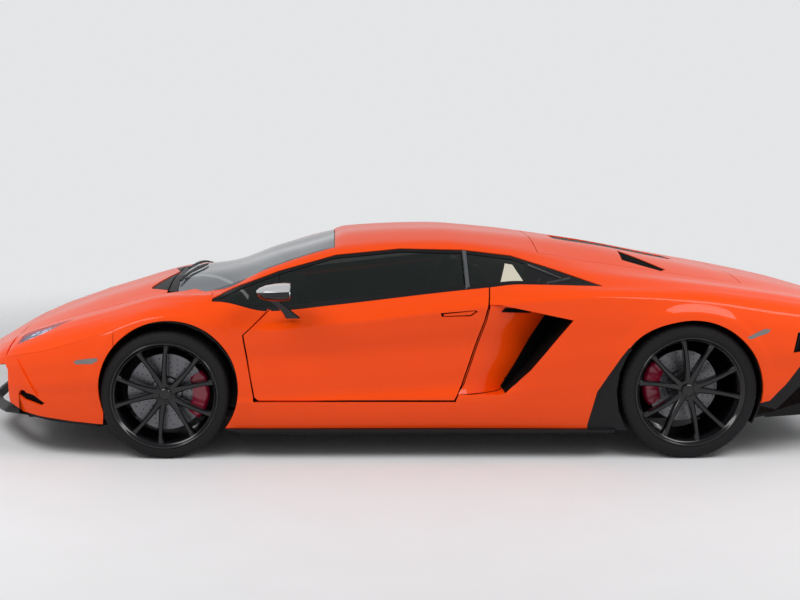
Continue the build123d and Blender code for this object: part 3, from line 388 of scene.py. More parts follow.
MARKER = material("marker", (0.16, 0.15, 0.145), 0.3, coat=0.5, grain=900, speckle=0.3, bump=0.05)
MIRROR = material("mirror", (0.7, 0.72, 0.74), 0.05, metallic=1.0, grain=200, wear=0.02, bump=0.0)
# grey for the upper half of the mirror head: a painted reflection of the pale sky on black gloss
MIRROR_SHEEN_GREY = material("mirror_sheen_grey", (0.42, 0.42, 0.43), 0.25, coat=0.6, grain=900, bump=0.01)
DISPLAY = material("display", (0.004, 0.005, 0.006), 0.08, coat=0.8, grain=60, wear=0.02)
PILLAR_GREY = material("pillar_grey", (0.07, 0.075, 0.08), 0.35, coat=0.4, grain=900)
CREAM = material("cream", (0.55, 0.52, 0.42), 0.5, grain=700, speckle=0.1, bump=0.3)
FLOOR = material("floor", (0.74, 0.74, 0.75), 0.6, grain=3, speckle=0.02, bump=0, specular=0.2)


# ------------------------------------------------------------------ pieces
# A name with {} makes the right-hand piece and its left-hand twin.
def sides_of(name):
    return ("right", "left") if "{}" in name else ("",)


def stands(piece, side, on, nodes):
    """The piece rides on a body, in place of the CAD nodes."""
    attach(piece, on.format(side))
    if nodes:
        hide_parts(*[node.format(side) for node in nodes])


# where inner points lie across each strip
V_PLACES = (0.0, 0.05, 0.1, 0.16, 0.25, 0.38, 0.5, 0.62, 0.75, 0.84, 0.9, 0.95)


def skin(name, outline, look, *nodes, on="body", holes=(), depth=0.0, thickness=14.0, step=22.0):
    """A sheet of the body surface inside outline (x, v), set in by depth, with its edges turned in."""
    loops = [[(x, v * V_SCALE) for x, v in loop] for loop in (outline, *holes)]
    flat = np.array(loops[0])
    xs = np.arange(flat[:, 0].min() + step / 2, flat[:, 0].max(), step)
    low, high = flat[:, 1].min(), flat[:, 1].max()
    places = {k + t for k in range(CROWN) for t in V_PLACES} | {CROWN}
    places = sorted(places | {ACROSS - v for v in places})
    flat, sheet = filled(loops, xs, [v * V_SCALE for v in places if low < v * V_SCALE < high])
    for side in sides_of(name):
        x, v = flat[:, 0], flat[:, 1] / V_SCALE
        if side == "left":
            v = ACROSS - v
        outward = normals(x, v)
        points, faces = surface(x, v) - outward * depth, sheet
        a, b, c = points[faces[0]]
        if np.dot(np.cross(b - a, c - a), outward[faces[0][0]]) < 0:
            faces = faces[:, ::-1]
        if thickness:
            points, faces = with_return(points, faces, outward, thickness)
        stands(mesh_object(name.format(side), points, faces, look), side, on, nodes)


def form(name, shape, look, *nodes, on="body", place=(0, 0, 0), sharp=35.0):
    """A piece with its faces turned outwards; its twin is the mirror image."""
    for side in sides_of(name):
        verts = np.array(shape[0], float) + np.array(place, float)
        if side == "left":
            verts[:, 1] *= -1
        piece = mesh_object(name.format(side), verts, shape[1], look, sharp)
        work = bmesh.new()
        work.from_mesh(piece.data)
        bmesh.ops.recalc_face_normals(work, faces=work.faces)
        work.to_mesh(piece.data)
        work.free()
        piece.data.set_sharp_from_angle(angle=math.radians(sharp))
        stands(piece, side, on, nodes)


def grid_faces(rows, columns, closed=True, ring=False):
    """Quads between rows of points; closed joins a row's ends, ring the last row to the first."""
    faces = []
    for a in range(rows if ring else rows - 1):
        b = (a + 1) % rows
        for j in range(columns if closed else columns - 1):
            i = (j + 1) % columns
            faces.append((a * columns + j, a * columns + i, b * columns + i, b * columns + j))
    return faces


def turned(profile, segments, closed=True, change=None):
    """Rings about the Y axis through an (r, y) profile; change(r, y, k) may alter segment k."""
    verts = []
    for k in range(segments):
        turn = math.tau * k / segments
        for r, y in profile:
            if change:
                r, y = change(r, y, k)
            verts.append((r * math.cos(turn), y, r * math.sin(turn)))
    return verts, grid_faces(segments, len(profile), closed, ring=True)


def lofted(rings):
    """A closed skin through rings of points."""
    n, count = len(rings[0]), len(rings)
    ends = [tuple(range(n))[::-1], tuple(range((count - 1) * n, count * n))]
    return [p for ring in rings for p in ring], grid_faces(count, n) + ends


def slab(points, y0, y1):
    """A side-view outline (x, z) carried from y0 to y1."""
    return lofted([[(x, y, z) for x, z in points] for y in (y0, y1)])


def block(points, x0, x1):
    """A front-view outline (y, z) carried from x0 to x1."""
    return lofted([[(x, y, z) for y, z in points] for x in (x0, x1)])


def joined(parts):
    verts, faces = [], []
    for more, sides in parts:
        start = len(verts)
        verts += list(more)
        faces += [tuple(start + i for i in f) for f in sides]
    return verts, faces


def spaced(start, count, pitch):
    """Places for a row of like parts."""
    return range(start, start + count * pitch, pitch)


def oval(a, b, count):
    """Points (a cos, b sin) once round."""
    return [(a * math.cos(t), b * math.sin(t)) for t in np.linspace(0, math.tau, count + 1)[:-1]]


# ------------------------------------------------------------------ outlines of the panels
# side views are (x, z), plan views (x, y), and outlines on the surface (x, v)
GAP = 4.0                    # shut line round doors and lids
BUMPER_REAR_X, BEAK_X, LID_NOSE_X, TAIL_X = -1572.0, -2396, -2144, 2396
DOOR_FRONT = [(-866, 323), (-922, 640)]
DOOR_REAR = [(343, 874), (330, 795), (312, 722), (200, 383)]
DOOR_BOTTOM_Z, SILL_Z = 306.0, 300.0
WINDOW_TOP = [(-1085, 812), (-950, 868), (-746, 940), (-450, 1020), (-110, 1052), (222, 1048),
              (478, 1022), (694, 962), (935, 889)]
WINDOW_FRONT_X, WINDOW_END_X = -1085.0, 935.0
LID_SIDE = [(LID_NOSE_X, 455), (-1410, 620), (-1345, 620)]
COVER_FRONT_X, COVER_REAR_X, COVER_HALF = 640.0, 1760.0, 545.0
ROOF_REAR_X, DECK_REAR_X = 1000.0, 2150.0
FILLER = [(892, 356), (1005, 538), (1045, 590)]
LOWER_TAIL = [(1748, 300), (1794, 311), (1874, 393), (1946, 488), (2030, 532), (2150, 540),
              (TAIL_X, 548)]
TAIL_BAND = [(1742, 285), (1835, 262), (1955, 385), (2060, 430), (TAIL_X, 440)]
REAR_ARCH_ANGLES = 145.0, -8.5
BUMPER_LOW = [(-1634, 180), (-1798, 194), (-1958, 211), (-2054, 227), (-2128, 266)]
BEAK_LOW = [(-2132, 300), (-2132, 440), (-2150, 468), (-2250, 440), (BEAK_X, 374)]
COWL_FRONT = [(-1345, 0), (-1390, 230), (-1452, 400), (-1440, 450), (-1345, 560)]
ROOF_FRONT = [(-455, 0), (-455, 545), (-1125, 690)]
PILLAR_FOOT = [(-1128, 696), (-1088, 735)]
FENDER_TOP = [(-1090, 735), (-1128, 696), (-1195, 606), (-1250, 622), (-1341, 622 + GAP)]
FENDER_EDGE = [(-1341, 620 + GAP), (-1410, 620 + GAP), (-2146, 455 + GAP)]
QUARTER_FRONT = [(345, 872), (334, 795), (316, 722), (204, 383), (168, 309)]
WINDSCREEN = [(-1297, 0), (-1297, 399), (-1287, 588), (-1260, 649), (-1124, 686)]
WINDSCREEN_TOP = [(-460, 540), (-460, 0)]
COWL = [(-1341, 0), (-1341, 560), (-1302, 600), (-1290, 590), (-1300, 400), (-1300, 0)]
LID_GRILLE = [(-1349, 0), (-1349, 556), (-1438, 448), (-1449, 402), (-1388, 231), (-1350, 0)]
QUARTER_TRIM = [(402, 905), (440, 990), (478, 985), (520, 915), (500, 905)]
TAIL_GRILLE = [(250, 588), (330, 686), (790, 668), (812, 640), (790, 592)]
HEADLAMP = [(-2100, 4.86), (-2092, 5.45), (-2050, 5.72), (-1960, 5.86), (-1812, 5.80),
            (-1880, 5.42), (-1985, 5.06)]
INTAKE = [(172, 338), (385, 338), (420, 347), (547, 465), (697, 648), (762, 728),
          (385, 802), (335, 802), (318, 722), (206, 383)]
OUTLET = [(1905, 562), (1932, 668), (2128, 648), (2100, 580)]
COVER_SLOT = [(1145, 200), (1356, 490), (1318, 538), (1125, 430)]
SIDE_MARKERS = {"front": [(-1774, 506), (-1750, 516), (-1652, 530), (-1644, 516), (-1678, 497),
                          (-1758, 493)],
                "rear": [(1656, 646), (1752, 687), (1786, 684), (1770, 664), (1674, 635)]}
HANDLE = [(84, 757), (262, 773), (276, 766), (240, 741), (92, 736)]
GRIP = [(100, 750), (258, 768), (262, 764), (236, 748), (102, 741)]
CORNER_HOLE = [(-2060, 345), (-2010, 338), (-1930, 284), (-1950, 268), (-2040, 292), (-2075, 318)]
CORNER_BLADE = [(-2129, 478), (-2070, 498), (-1964, 322), (-2022, 336)]
SPINE = [(790, 0), (790, 100), (850, 130), (1470, 95), (1510, 0)]


def crease_height(v, x):
    """The body's height at crease v."""
    return float(surface([x], [float(v)])[0][2])


def side_v(x, z):
    """The place v that a side view shows at (x, z)."""
    return float(seen_from_side([(x, z), (x, z)])[0][1])


def side_y(x, z):
    """The body's half width that a side view shows at (x, z)."""
    return float(surface([x], [side_v(x, z)])[0][1])


def top_z(x, y):
    """The body's height that a plan view shows at (x, y)."""
    return float(surface([x], [seen_from_above([(x, y), (x, y)])[0][1]])[0][2])


def shifted(points, dx):
    return [(x + dx, z) for x, z in points]


def twin(loop):
    """The loop's mirror image on the left-hand half."""
    return [(x, ACROSS - v) for x, v in loop]


def mirrored_loop(half):
    """A loop across the car from its right half, which starts and ends on the centreline."""
    return half + twin(half[::-1])


def across_car(*lines):
    return mirrored_loop([place for line in lines for place in seen_from_above(line)])


def corners(places):
    """A closed loop through (x, v) corners."""
    flat = dense([(x, v * V_SCALE) for x, v in places + places[:1]], 12.0)
    return [(x, w / V_SCALE) for x, w in flat]


def scaled(outline, share=0.985):
    """The outline made smaller or larger about its middle."""
    middle = np.mean(np.array(outline), axis=0)
    return [tuple(middle + (np.array(p) - middle) * share) for p in outline]


def closed_side(points):
    """A closed side-view outline as (x, v)."""
    return seen_from_side(points + points[:1], 8.0)


def bumper_outline():
    half = at_x(-2148, CROWN, WAIST) + on_crease(WAIST, -2148, BUMPER_REAR_X)
    half += seen_from_side([(BUMPER_REAR_X, crease_height(WAIST, BUMPER_REAR_X) - 2),
                            arch_line(FRONT, 141, 215)[0]])
    half += seen_from_side(arch_line(FRONT, 141, 200) + BUMPER_LOW, 20)
    return mirrored_loop(half + seen_from_side(BEAK_LOW) + at_x(BEAK_X, WAIST, CROWN))


def fender_outline():
    door_side = shifted(DOOR_FRONT, -GAP)
    outline = on_crease(WAIST + 0.012, -2146, BUMPER_REAR_X + 2)
    outline += seen_from_side([(BUMPER_REAR_X + 2, crease_height(WAIST, BUMPER_REAR_X + 2) - 4),
                               arch_line(FRONT, 140, 139)[0]])
    outline += seen_from_side(arch_line(FRONT, 140, -11), 30)
    outline += seen_from_side([(-950, SILL_Z), (door_side[0][0], SILL_Z), *door_side, (-794, 762)])
    outline += on_crease(BELT, -800, WINDOW_FRONT_X)
    return outline + seen_from_above(FENDER_TOP) + seen_from_above(FENDER_EDGE)


def door_outline():
    outline = seen_from_side([(-842, DOOR_BOTTOM_Z + GAP), (160, DOOR_BOTTOM_Z + GAP)])
    outline += seen_from_side([(163 - GAP, 312), *shifted(DOOR_REAR[::-1], -GAP)])
    outline += on_crease(BELT, 338, -782)
    return outline + seen_from_side([(-786, 757), *shifted(DOOR_FRONT[::-1], GAP)])


def quarter_outline():
    outline = seen_from_side([(168, SILL_Z), (878, SILL_Z)]) + seen_from_side(FILLER)
    outline += seen_from_side(arch_line(REAR, *REAR_ARCH_ANGLES), 30)
    outline += seen_from_side(LOWER_TAIL[:-1]) + at_x(DECK_REAR_X, SIDE + 1, BELT)[4:]
    outline += on_crease(BELT, DECK_REAR_X, 346)
    return outline + seen_from_side(QUARTER_FRONT)


def sill_outline():
    outline = on_crease(LOW, -1010, 850) + seen_from_side([(850, 183), (878, SILL_Z)])
    outline += seen_from_side([(878, SILL_Z), (-950, SILL_Z)])
    return outline + seen_from_side(arch_line(FRONT, -11, -36), 30)


def roof_outline():
    half = seen_from_above(ROOF_FRONT) + seen_from_above(PILLAR_FOOT) + seen_from_side(WINDOW_TOP)
    half += on_crease(BELT, 938, ROOF_REAR_X) + at_x(ROOF_REAR_X, BELT, RAIL - 0.02)
    half += seen_from_above([(ROOF_REAR_X, COVER_HALF + GAP),
                             (COVER_FRONT_X - GAP, COVER_HALF + GAP), (COVER_FRONT_X - GAP, 0)])
    return mirrored_loop(half)


def deck_outline():
    half = seen_from_above([(COVER_REAR_X + GAP, 0), (COVER_REAR_X + GAP, COVER_HALF + GAP),
                            (ROOF_REAR_X, COVER_HALF + GAP)])
    half += at_x(ROOF_REAR_X, RAIL, BELT) + on_crease(BELT, ROOF_REAR_X, DECK_REAR_X)
    return mirrored_loop(half + at_x(DECK_REAR_X, BELT, CROWN))


def cover_outline():
    return across_car([(COVER_FRONT_X, 0), (COVER_FRONT_X, COVER_HALF),
                       (COVER_REAR_X, COVER_HALF), (COVER_REAR_X, 0)])


def lid_outline():
    return across_car([(LID_NOSE_X, 0)] + LID_SIDE + COWL_FRONT[::-1])


def tail_outline():
    half = at_x(DECK_REAR_X, CROWN, FLANK) + seen_from_side(LOWER_TAIL[-2:])
    return mirrored_loop(half + at_x(TAIL_X, FLANK, CROWN))


def build_panels():
    """The painted outside, with the linings of what opens."""
    slot = seen_from_above(COVER_SLOT + COVER_SLOT[:1])
    cuts = [closed_side(outline) for outline in (SIDE_MARKERS["front"], CORNER_HOLE)]
    skin("bumper_skin", bumper_outline(), PAINT, "front_bumper",
         holes=cuts + [twin(loop) for loop in cuts])
    skin("lid_skin", lid_outline(), PAINT, "front_lid", on="front_lid")
    skin("lid_lining", scaled(lid_outline()), SATIN_BLACK, on="front_lid", depth=18, thickness=0)
    skin("cover_lining", scaled(cover_outline()), DARK, on="engine_cover", depth=26, thickness=0)
    skin("roof_skin", roof_outline(), PAINT, "roof")
    skin("deck_skin", deck_outline(), PAINT, "rear_deck")
    skin("cover_skin", cover_outline(), PAINT, "engine_cover", on="engine_cover",
         holes=(slot, twin(slot), across_car(SPINE)))
    skin("tail_skin", tail_outline(), PAINT, "rear_bumper")
    skin("fender_skin_{}", fender_outline(), PAINT, "fenders", holes=(corners(HEADLAMP),))
    skin("door_skin_{}", door_outline(), PAINT, "door_{}", on="door_{}",
         holes=(closed_side(HANDLE),), thickness=40)
    skin("door_card_{}", scaled(door_outline()), LEATHER, on="door_{}", depth=41, thickness=0)
    skin("quarter_skin_{}", quarter_outline(), PAINT, "quarters",
         holes=[closed_side(outline) for outline in (INTAKE, SIDE_MARKERS["rear"], OUTLET)])
    skin("sill_skin_{}", sill_outline(), PAINT, "sills")


# ------------------------------------------------------------------ wheels
# per end: axle x, tyre radius and width, rim flange radius, wheel centre y, brake disc radius and
# inner face y, the spokes' turn and the caliper's middle in degrees, and what carries the caliper
WHEELS = {
    "front": dict(x=-1320.0, radius=330.0, width=255.0, flange=271.5, track=848.0, disc=198.0,
                  disc_y=828.3, turn=32.0, caliper=-4.0, carrier="knuckle_{}",
                  caliper_node="front_caliper_{}"),
    "rear": dict(x=1380.0, radius=355.0, width=340.0, flange=284.0, track=828.0, disc=188.0,
                 disc_y=788.3, turn=10.0, caliper=176.0, carrier="body",
                 caliper_node="rear_calipers"),
}
PAIRS, PAIR_SPREAD = 5, 17.0
DISC_THICKNESS, HUB_RADIUS = 34.0, 60.0
TREAD_PITCH, TYRE_SEGMENTS = 4, 240


def tyre_shape(wheel):
    """Tyre with four grooves round it, shoulder slots and a ridged outer wall."""
    radius, half, bead = wheel["radius"], wheel["width"] / 2, wheel["flange"] - 14
    profile = [(bead, -half + 14), (bead + 20, -half + 2), (bead + 42, -half),
               (radius - 20, -half + 5), (radius - 8, -half + 14), (radius - 2, -half + 26)]
    ribs = [-half + 34, -0.42 * half, -0.12 * half, 0.12 * half, 0.42 * half, half - 34]
    for a, b in zip(ribs, ribs[1:]):
        profile += [(radius, a + 5), (radius, b - 5), (radius - 7, b - 4), (radius - 7, b + 4)]
    profile = profile[:-2]
    profile += [(radius - 2, half - 26), (radius - 8, half - 14), (radius - 15, half - 7),
                (radius - 24, half - 2.5), (radius - 26, half - 3), (radius - 28, half - 2),
                (radius - 42, half), (bead + 22, half - 0.5), (bead + 20, half - 2),
                (bead + 16, half - 2), (bead + 12, half - 1), (bead + 7, half - 3),
                (bead, half - 12)]

    def tread(r, y, k):
        outer = r > radius - 9 and abs(y) > 0.42 * half
        slanted = (k + int(abs(y) / 14)) % TREAD_PITCH == 0
        return (r - 5, y) if outer and slanted else (r, y)

    return turned(profile, TYRE_SEGMENTS, change=tread)


def spoke_shape(angle, swing, inner, outer, face):
    """One arm of a Y: slim, ridged along its middle, deeper at the hub."""
    rings = []
    for t in (0.0, 0.12, 0.3, 0.55, 0.8, 0.93, 1.0):
        r = inner + (outer - inner) * t
        turn = math.radians(angle + swing * (0.62 + 0.38 * t))
        width = 38 - 34 * t + 20 * t * t + (8 if t > 0.9 else 0)
        top = face - 36 * (1 - t)**1.5
        ring = [(-0.5, -44), (-0.5, -9), (-0.3, -2), (0.0, 0), (0.3, -2), (0.5, -9), (0.5, -44)]
        rings.append([(r * math.cos(turn) - a * width * math.sin(turn), top + d,
                       r * math.sin(turn) + a * width * math.cos(turn)) for a, d in ring])
    return lofted(rings)


def nut_shape(angle, r, face):
    turn = math.radians(angle)
    cx, cz = r * math.cos(turn), r * math.sin(turn)
    return lofted([[(cx + x, y, cz + z) for x, z in oval(radius, radius, 6)]
                   for radius, y in ((8.5, face), (8.5, face + 9), (6, face + 12))])


def rim_shape(wheel):
    """Barrel and lip, a plain hub cap, five pairs of spokes and five nuts."""
    half, flange = wheel["width"] / 2, wheel["flange"]
    barrel = [(flange, half - 1), (flange + 1.5, half + 1), (flange, half + 2.5),
              (flange - 5, half + 2), (flange - 9, half - 2), (flange - 13, half - 9),
              (flange - 19, half - 14), (flange - 24, half - 40), (flange - 29, 0),
              (flange - 27, -half + 30), (flange - 14, -half + 14), (flange - 13, -half + 8),
              (flange - 6, -half + 8), (flange - 6, -half + 13), (flange - 18, -half + 22),
              (flange - 22, -half + 40), (flange - 22, 0), (flange - 17, half - 30),
              (flange - 8, half - 8)]
    hub = [(0, half - 100), (HUB_RADIUS, half - 100), (HUB_RADIUS, half - 62),
           (HUB_RADIUS - 6, half - 50), (40, half - 47), (34, half - 50), (31, half - 50),
           (30, half - 44), (26, half - 41), (0, half - 40)]
    parts = [turned(barrel, 96), turned(hub, 40, closed=False)]
    for k in range(PAIRS):
        angle = wheel["turn"] + 360 / PAIRS * k
        for side in (-1, 1):
            parts.append(spoke_shape(angle, side * PAIR_SPREAD, 36, flange - 15, half - 14))
        parts.append(nut_shape(angle + 180 / PAIRS, 46, half - 50))
    return joined(parts)


def disc_shape(wheel):
    """Vented disc with its bell: two plates with the vanes' gap between them."""
    r = wheel["disc"]
    plates = [(82, 0), (r, 0), (r, 11), (r - 16, 11), (r - 16, 23), (r, 23), (r, DISC_THICKNESS),
              (84, DISC_THICKNESS)]
    bell = [(84, DISC_THICKNESS - 2), (80, DISC_THICKNESS + 8), (78, DISC_THICKNESS + 20),
            (0, DISC_THICKNESS + 22)]
    return joined([turned(plates, 72), turned(bell, 40, closed=False)])


def holes_shape():
    """The disc's drilled holes, as dark dimples just proud of its face, painted as the shade inside the
    holes.
    """
    parts = []
    for k in range(24):
        for j, r in enumerate((104, 128, 152, 176)):
            turn = math.tau * (k + 0.25 * j) / 24
            ring = [(r * math.cos(turn) + x, DISC_THICKNESS + 0.4, r * math.sin(turn) + z)
                    for x, z in oval(3.4, 3.4, 8)]
            parts.append((ring, [tuple(range(8))[::-1]]))
    return joined(parts)


def caliper_shape(wheel):
    """Fixed caliper wrapped over the disc's edge, with a rib at each end and bridge windows."""
    r0, r1 = wheel["disc"] - 62, wheel["disc"] + 24
    y0, y1 = -22, DISC_THICKNESS + 24
    rings = []
    for t in np.linspace(-1, 1, 15):
        turn = math.radians(wheel["caliper"] + 36 * t)
        shrink = 0.35 * abs(t)**6
        waist = 3.0 if 0.25 < abs(t) < 0.45 else 0.0
        low, high = r0 + 32 * shrink, r1 - waist - 30 * shrink
        top = y1 - 14 * shrink - waist
        ring = [(low, y0), (high - 12, y0), (high, y0 + 12), (high, top - 14), (high - 9, top - 3),
                (high - 20, top), (low + 12, top), (low, top - 6)]
        rings.append([(r * math.cos(turn), y, r * math.sin(turn)) for r, y in ring])
    return lofted(rings)


def build_wheels():
    for end, wheel in WHEELS.items():
        rolls = end + "_wheel_{}"
        at = (wheel["x"], wheel["track"], wheel["radius"])
        disc_at = (wheel["x"], wheel["disc_y"], wheel["radius"])
        form(f"tyre_{end}_{{}}_tread", tyre_shape(wheel), RUBBER, f"tyre_{end}_{{}}", on=rolls,
             place=at, sharp=50)
        form(f"rim_{end}_{{}}", rim_shape(wheel), RIM, f"wheel_{end}_{{}}", on=rolls, place=at,
             sharp=30)
        form(f"disc_{end}_{{}}", disc_shape(wheel), STEEL, on=rolls, place=disc_at)
        # dark dots on the disc: painted shade of the drilled holes
        form(f"disc_holes_{end}_{{}}", holes_shape(), DARK, on=rolls, place=disc_at)
        form(f"caliper_{end}_{{}}_body", caliper_shape(wheel), CRIMSON, wheel["caliper_node"],
             on=wheel["carrier"], place=disc_at)
    wheel = WHEELS["rear"]
    house = [(wheel["x"] + x, max(wheel["radius"] + z, 165)) for x, z in oval(335, 335, 48)]
    form("rear_house_{}", slab(house, 640, 646), DARK)


# ------------------------------------------------------------------ the side intake
INTAKE_FLOOR_Y, INTAKE_DEPTH_X = 640.0, 470.0
# the walls behind and below these are black as painted shade of the intake's deep cavity
PAINTED_SHADE_X, PAINTED_SHADE_TOP_Z = 415, 720    # behind and below these the walls are black
# the duct and its slot: dark sheets lying on the ramp, painted shade of the opening at the intake's
# rear
DUCT = [(425, 352), (547, 465), (697, 648), (762, 728), (668, 752), (575, 620), (490, 480),
        (408, 356)]
DUCT_SLOT = [(395, 762), (560, 744), (575, 764), (420, 784)]


def front_edge_x(z):
    """The front edge of the side intake at height z."""
    return float(np.interp(z, [338, 383, 722, 802], [172, 206, 318, 335]))


RAMP_HEIGHTS = list(range(330, 821, 10))
RAMP_START = [side_y(front_edge_x(z), z) - 5.0 for z in RAMP_HEIGHTS]


def ramp_y(x, z):
    """The intake's floor: the door's surface carried on, falling in towards the engine."""
    start = float(np.interp(z, RAMP_HEIGHTS, RAMP_START))
    t = min(max((x - front_edge_x(z)) / INTAKE_DEPTH_X, 0.0), 1.0)
    return start + (INTAKE_FLOOR_Y - start) * t**1.6


def on_ramp(outline, lift=0.0, step=16.0):
    """A sheet over a side-view outline, lying lift above the intake's floor."""
    xs = np.arange(min(p[0] for p in outline) + 3, max(p[0] for p in outline), step)
    zs = np.arange(min(p[1] for p in outline) + 3, max(p[1] for p in outline), step)
    flat, faces = filled([dense(outline + outline[:1], 10.0)], xs, zs)
    return [(x, ramp_y(x, z) + lift, z) for x, z in flat], [tuple(f) for f in faces]


def build_intake():
    """The side intake: orange ramp and walls, with a rear wall, a slatted duct and a slot that are dark
    as painted shade of the deep cavity and its opening.
    """
    form("intake_ramp_{}", on_ramp([(x + (6 if x < 350 else -6), z) for x, z in INTAKE]), PAINT)
    x, v = np.array(closed_side(INTAKE)).T
    edge = surface(x, v) - normals(x, v) * 12
    deep = np.array([(px, min(ramp_y(px, pz), py) - 4, pz) for px, py, pz in edge])
    n = len(edge)
    walls = grid_faces(2, n)
    # walls deep in the intake, where shade falls, are dark as painted shade
    dark = [k for k in range(n) if edge[k][2] < PAINTED_SHADE_TOP_Z and edge[k][0] > PAINTED_SHADE_X]
    painted = [k for k in range(n) if k not in dark]
    for name, kept, look in (("rear_wall_shade", dark, DARK), ("walls", painted, PAINT)):
        form(f"intake_{name}_{{}}", (np.vstack([edge, deep]), [walls[k] for k in kept]), look)
    form("intake_duct_{}", on_ramp(DUCT, 3), DARK)
    form("intake_slot_{}", on_ramp(DUCT_SLOT, 3), DARK)
    # the duct's bars are dark too, as painted shade
    bars = []
    for k in range(9):
        t = (k + 0.5) / 9
        x, z = 425 + 300 * t, 380 + 345 * t
        y = ramp_y(x, z) + 5
        bars.append(slab([(x - 70, z + 6), (x + 6, z - 4), (x + 8, z + 1), (x - 66, z + 11)],
                         y - 1, y + 4))
    form("intake_bars_{}", joined(bars), DARK)


# ------------------------------------------------------------------ side trim and side glass
SKIRT = ((-1005, 962), (-940, 985), (0, 992), (840, 1004), (990, 1010), (1010, 960))
PILLAR_FRONT_X, PILLAR_REAR_X, QUARTER_GLASS_END = 221.0, 243.0, 540.0
VENT_VANES = ((560, 720, 985, 925), (640, 770, 905, 925), (585, 650, 900, 975))


def build_side_trim():
    """Markers, door handle, rear outlet, belt seal, the nose's corner pieces and the skirt."""
    for end, outline in SIDE_MARKERS.items():
        skin(f"side_marker_{end}_{{}}", closed_side(outline), MARKER, depth=1.0, thickness=6,
             step=10)
    skin("handle_recess_{}", scaled(closed_side(HANDLE), 1.05), DARK, on="door_{}", depth=22,
         thickness=0, step=12)
    skin("handle_{}", closed_side(GRIP), PAINT, on="door_{}", depth=2, thickness=8, step=10)
    skin("outlet_mesh_{}", closed_side(OUTLET), DARK, depth=34, thickness=0, step=20)
    bars = []
    for k in range(6):
        x, z0, z1 = 1932 + 32 * k, 574 + k, 664 - 3 * k
        y = float(surface([x], [3.2])[0][1]) - 22
        bars.append(slab([(x, z0), (x + 6, z0), (x + 22, z1), (x + 16, z1)], y - 6, y))
    form("outlet_bars_{}", joined(bars), SATIN_BLACK)
    seal = on_crease(BELT + 0.005, WINDOW_FRONT_X + 20, WINDOW_END_X - 10)
    seal += on_crease(BELT + 0.085, WINDOW_END_X - 10, WINDOW_FRONT_X + 20)
    skin("belt_seal_{}", seal, SATIN_BLACK, depth=2, thickness=8)
    skin("corner_hole_{}", scaled(closed_side(CORNER_HOLE), 1.06), DARK, depth=15, thickness=0,
         step=12)
    skin("corner_blade_{}", closed_side(CORNER_BLADE), PAINT, depth=-9, thickness=11, step=10)
    skirt = [[(x, 900, 147), (x, y, 147), (x, y, 158), (x, 900, 170)] for x, y in SKIRT]
    form("side_skirt_{}", lofted(skirt), SATIN_BLACK)


def window_outline(x0, x1, drop, low=BELT + 0.02):
    """A pane's outline between x0 and x1, drop below the opening's upper edge."""
    top = [(x, z - drop) for x, z in WINDOW_TOP if x0 < x < x1]
    ends = [(x, float(np.interp(x, *zip(*WINDOW_TOP))) - drop) for x in (x0, x1)]
    return seen_from_side([ends[0]] + top + [ends[1]]) + on_crease(low, x1, x0)


def build_side_glass():
    """Side glass in three panes, its black frame, and the vent behind it."""
    hole = window_outline(-1050, QUARTER_GLASS_END, 15, BELT + 0.12)
    skin("window_frame_{}", window_outline(WINDOW_FRONT_X + 4, WINDOW_END_X - 6, 1), SATIN_BLACK,
         holes=(hole,), depth=3.5, thickness=8)
    pane = dict(depth=7, thickness=3)
    skin("front_pane_{}", window_outline(-1075, -748, 6), TINT, "fixed_glass", **pane)
    skin("rear_pane_{}", window_outline(PILLAR_REAR_X, QUARTER_GLASS_END + 10, 6), TINT, **pane)
    skin("door_pane_{}", window_outline(-742, 215, 16), TINT, "door_glass_{}", on="door_{}", **pane)
    skin("pillar_{}", window_outline(PILLAR_FRONT_X, PILLAR_REAR_X, 2), PILLAR_GREY, depth=2,
         thickness=10, step=8)
    skin("quarter_trim_{}", closed_side(QUARTER_TRIM), CREAM, depth=5.5, thickness=1, step=10)
    skin("vent_panel_{}", window_outline(QUARTER_GLASS_END + 4, WINDOW_END_X - 12, 3), DARK,
         "quarter_vents", depth=16, thickness=4)
    vanes = []
    for x0, x1, z0, z1 in VENT_VANES:
        verts, faces = slab([(x0, z0), (x1, z1), (x1 + 6, z1 - 8), (x0 + 4, z0 - 12)], 0, 10)
        vanes.append(([(x, side_y(x, z) - 14 + y, z) for x, y, z in verts], faces))
    form("vent_vanes_{}", joined(vanes), GLOSS_BLACK)


# ------------------------------------------------------------------ nose and windscreen
LAMP_PARTS = [[(-2088, 4.95), (-2080, 5.4), (-1900, 5.7), (-1840, 5.7), (-1960, 5.2)],
              [(-2078, 5.02), (-2070, 5.12), (-1950, 5.4), (-1900, 5.5), (-1960, 5.27)],
              [(-2050, 5.3), (-2035, 5.5), (-2000, 5.56), (-2012, 5.36)],
              [(-1992, 5.4), (-1980, 5.6), (-1945, 5.66), (-1958, 5.46)]]
MOUTH_WALL = [(-2250, 0), (-2245, 230), (-2190, 430), (-2124, 640), (-2092, 780), (-2070, 872)]
MOUTH_LOW_Z, MOUTH_TOP_Z = 190, 455
MOUTH_BARS_Z, BAR_HALF_WIDTH = (232, 265, 298, 331, 364), 725
LIP_PLAN = [(-2392, 0), (-2388, 238), (-2330, 400), (-2178, 716), (-2060, 820), (-1902, 902),
            (-1690, 944), (-1660, 948)]
LIP_LOW = [(-2392, 150), (-2330, 160), (-2178, 190), (-2060, 202), (-1902, 186), (-1690, 168),
           (-1660, 165)]
RADIATOR_FRONT_X, RADIATOR_REAR_X, FIN_X, FIN_LOW_Z = -2008, -1904, -2014, 222


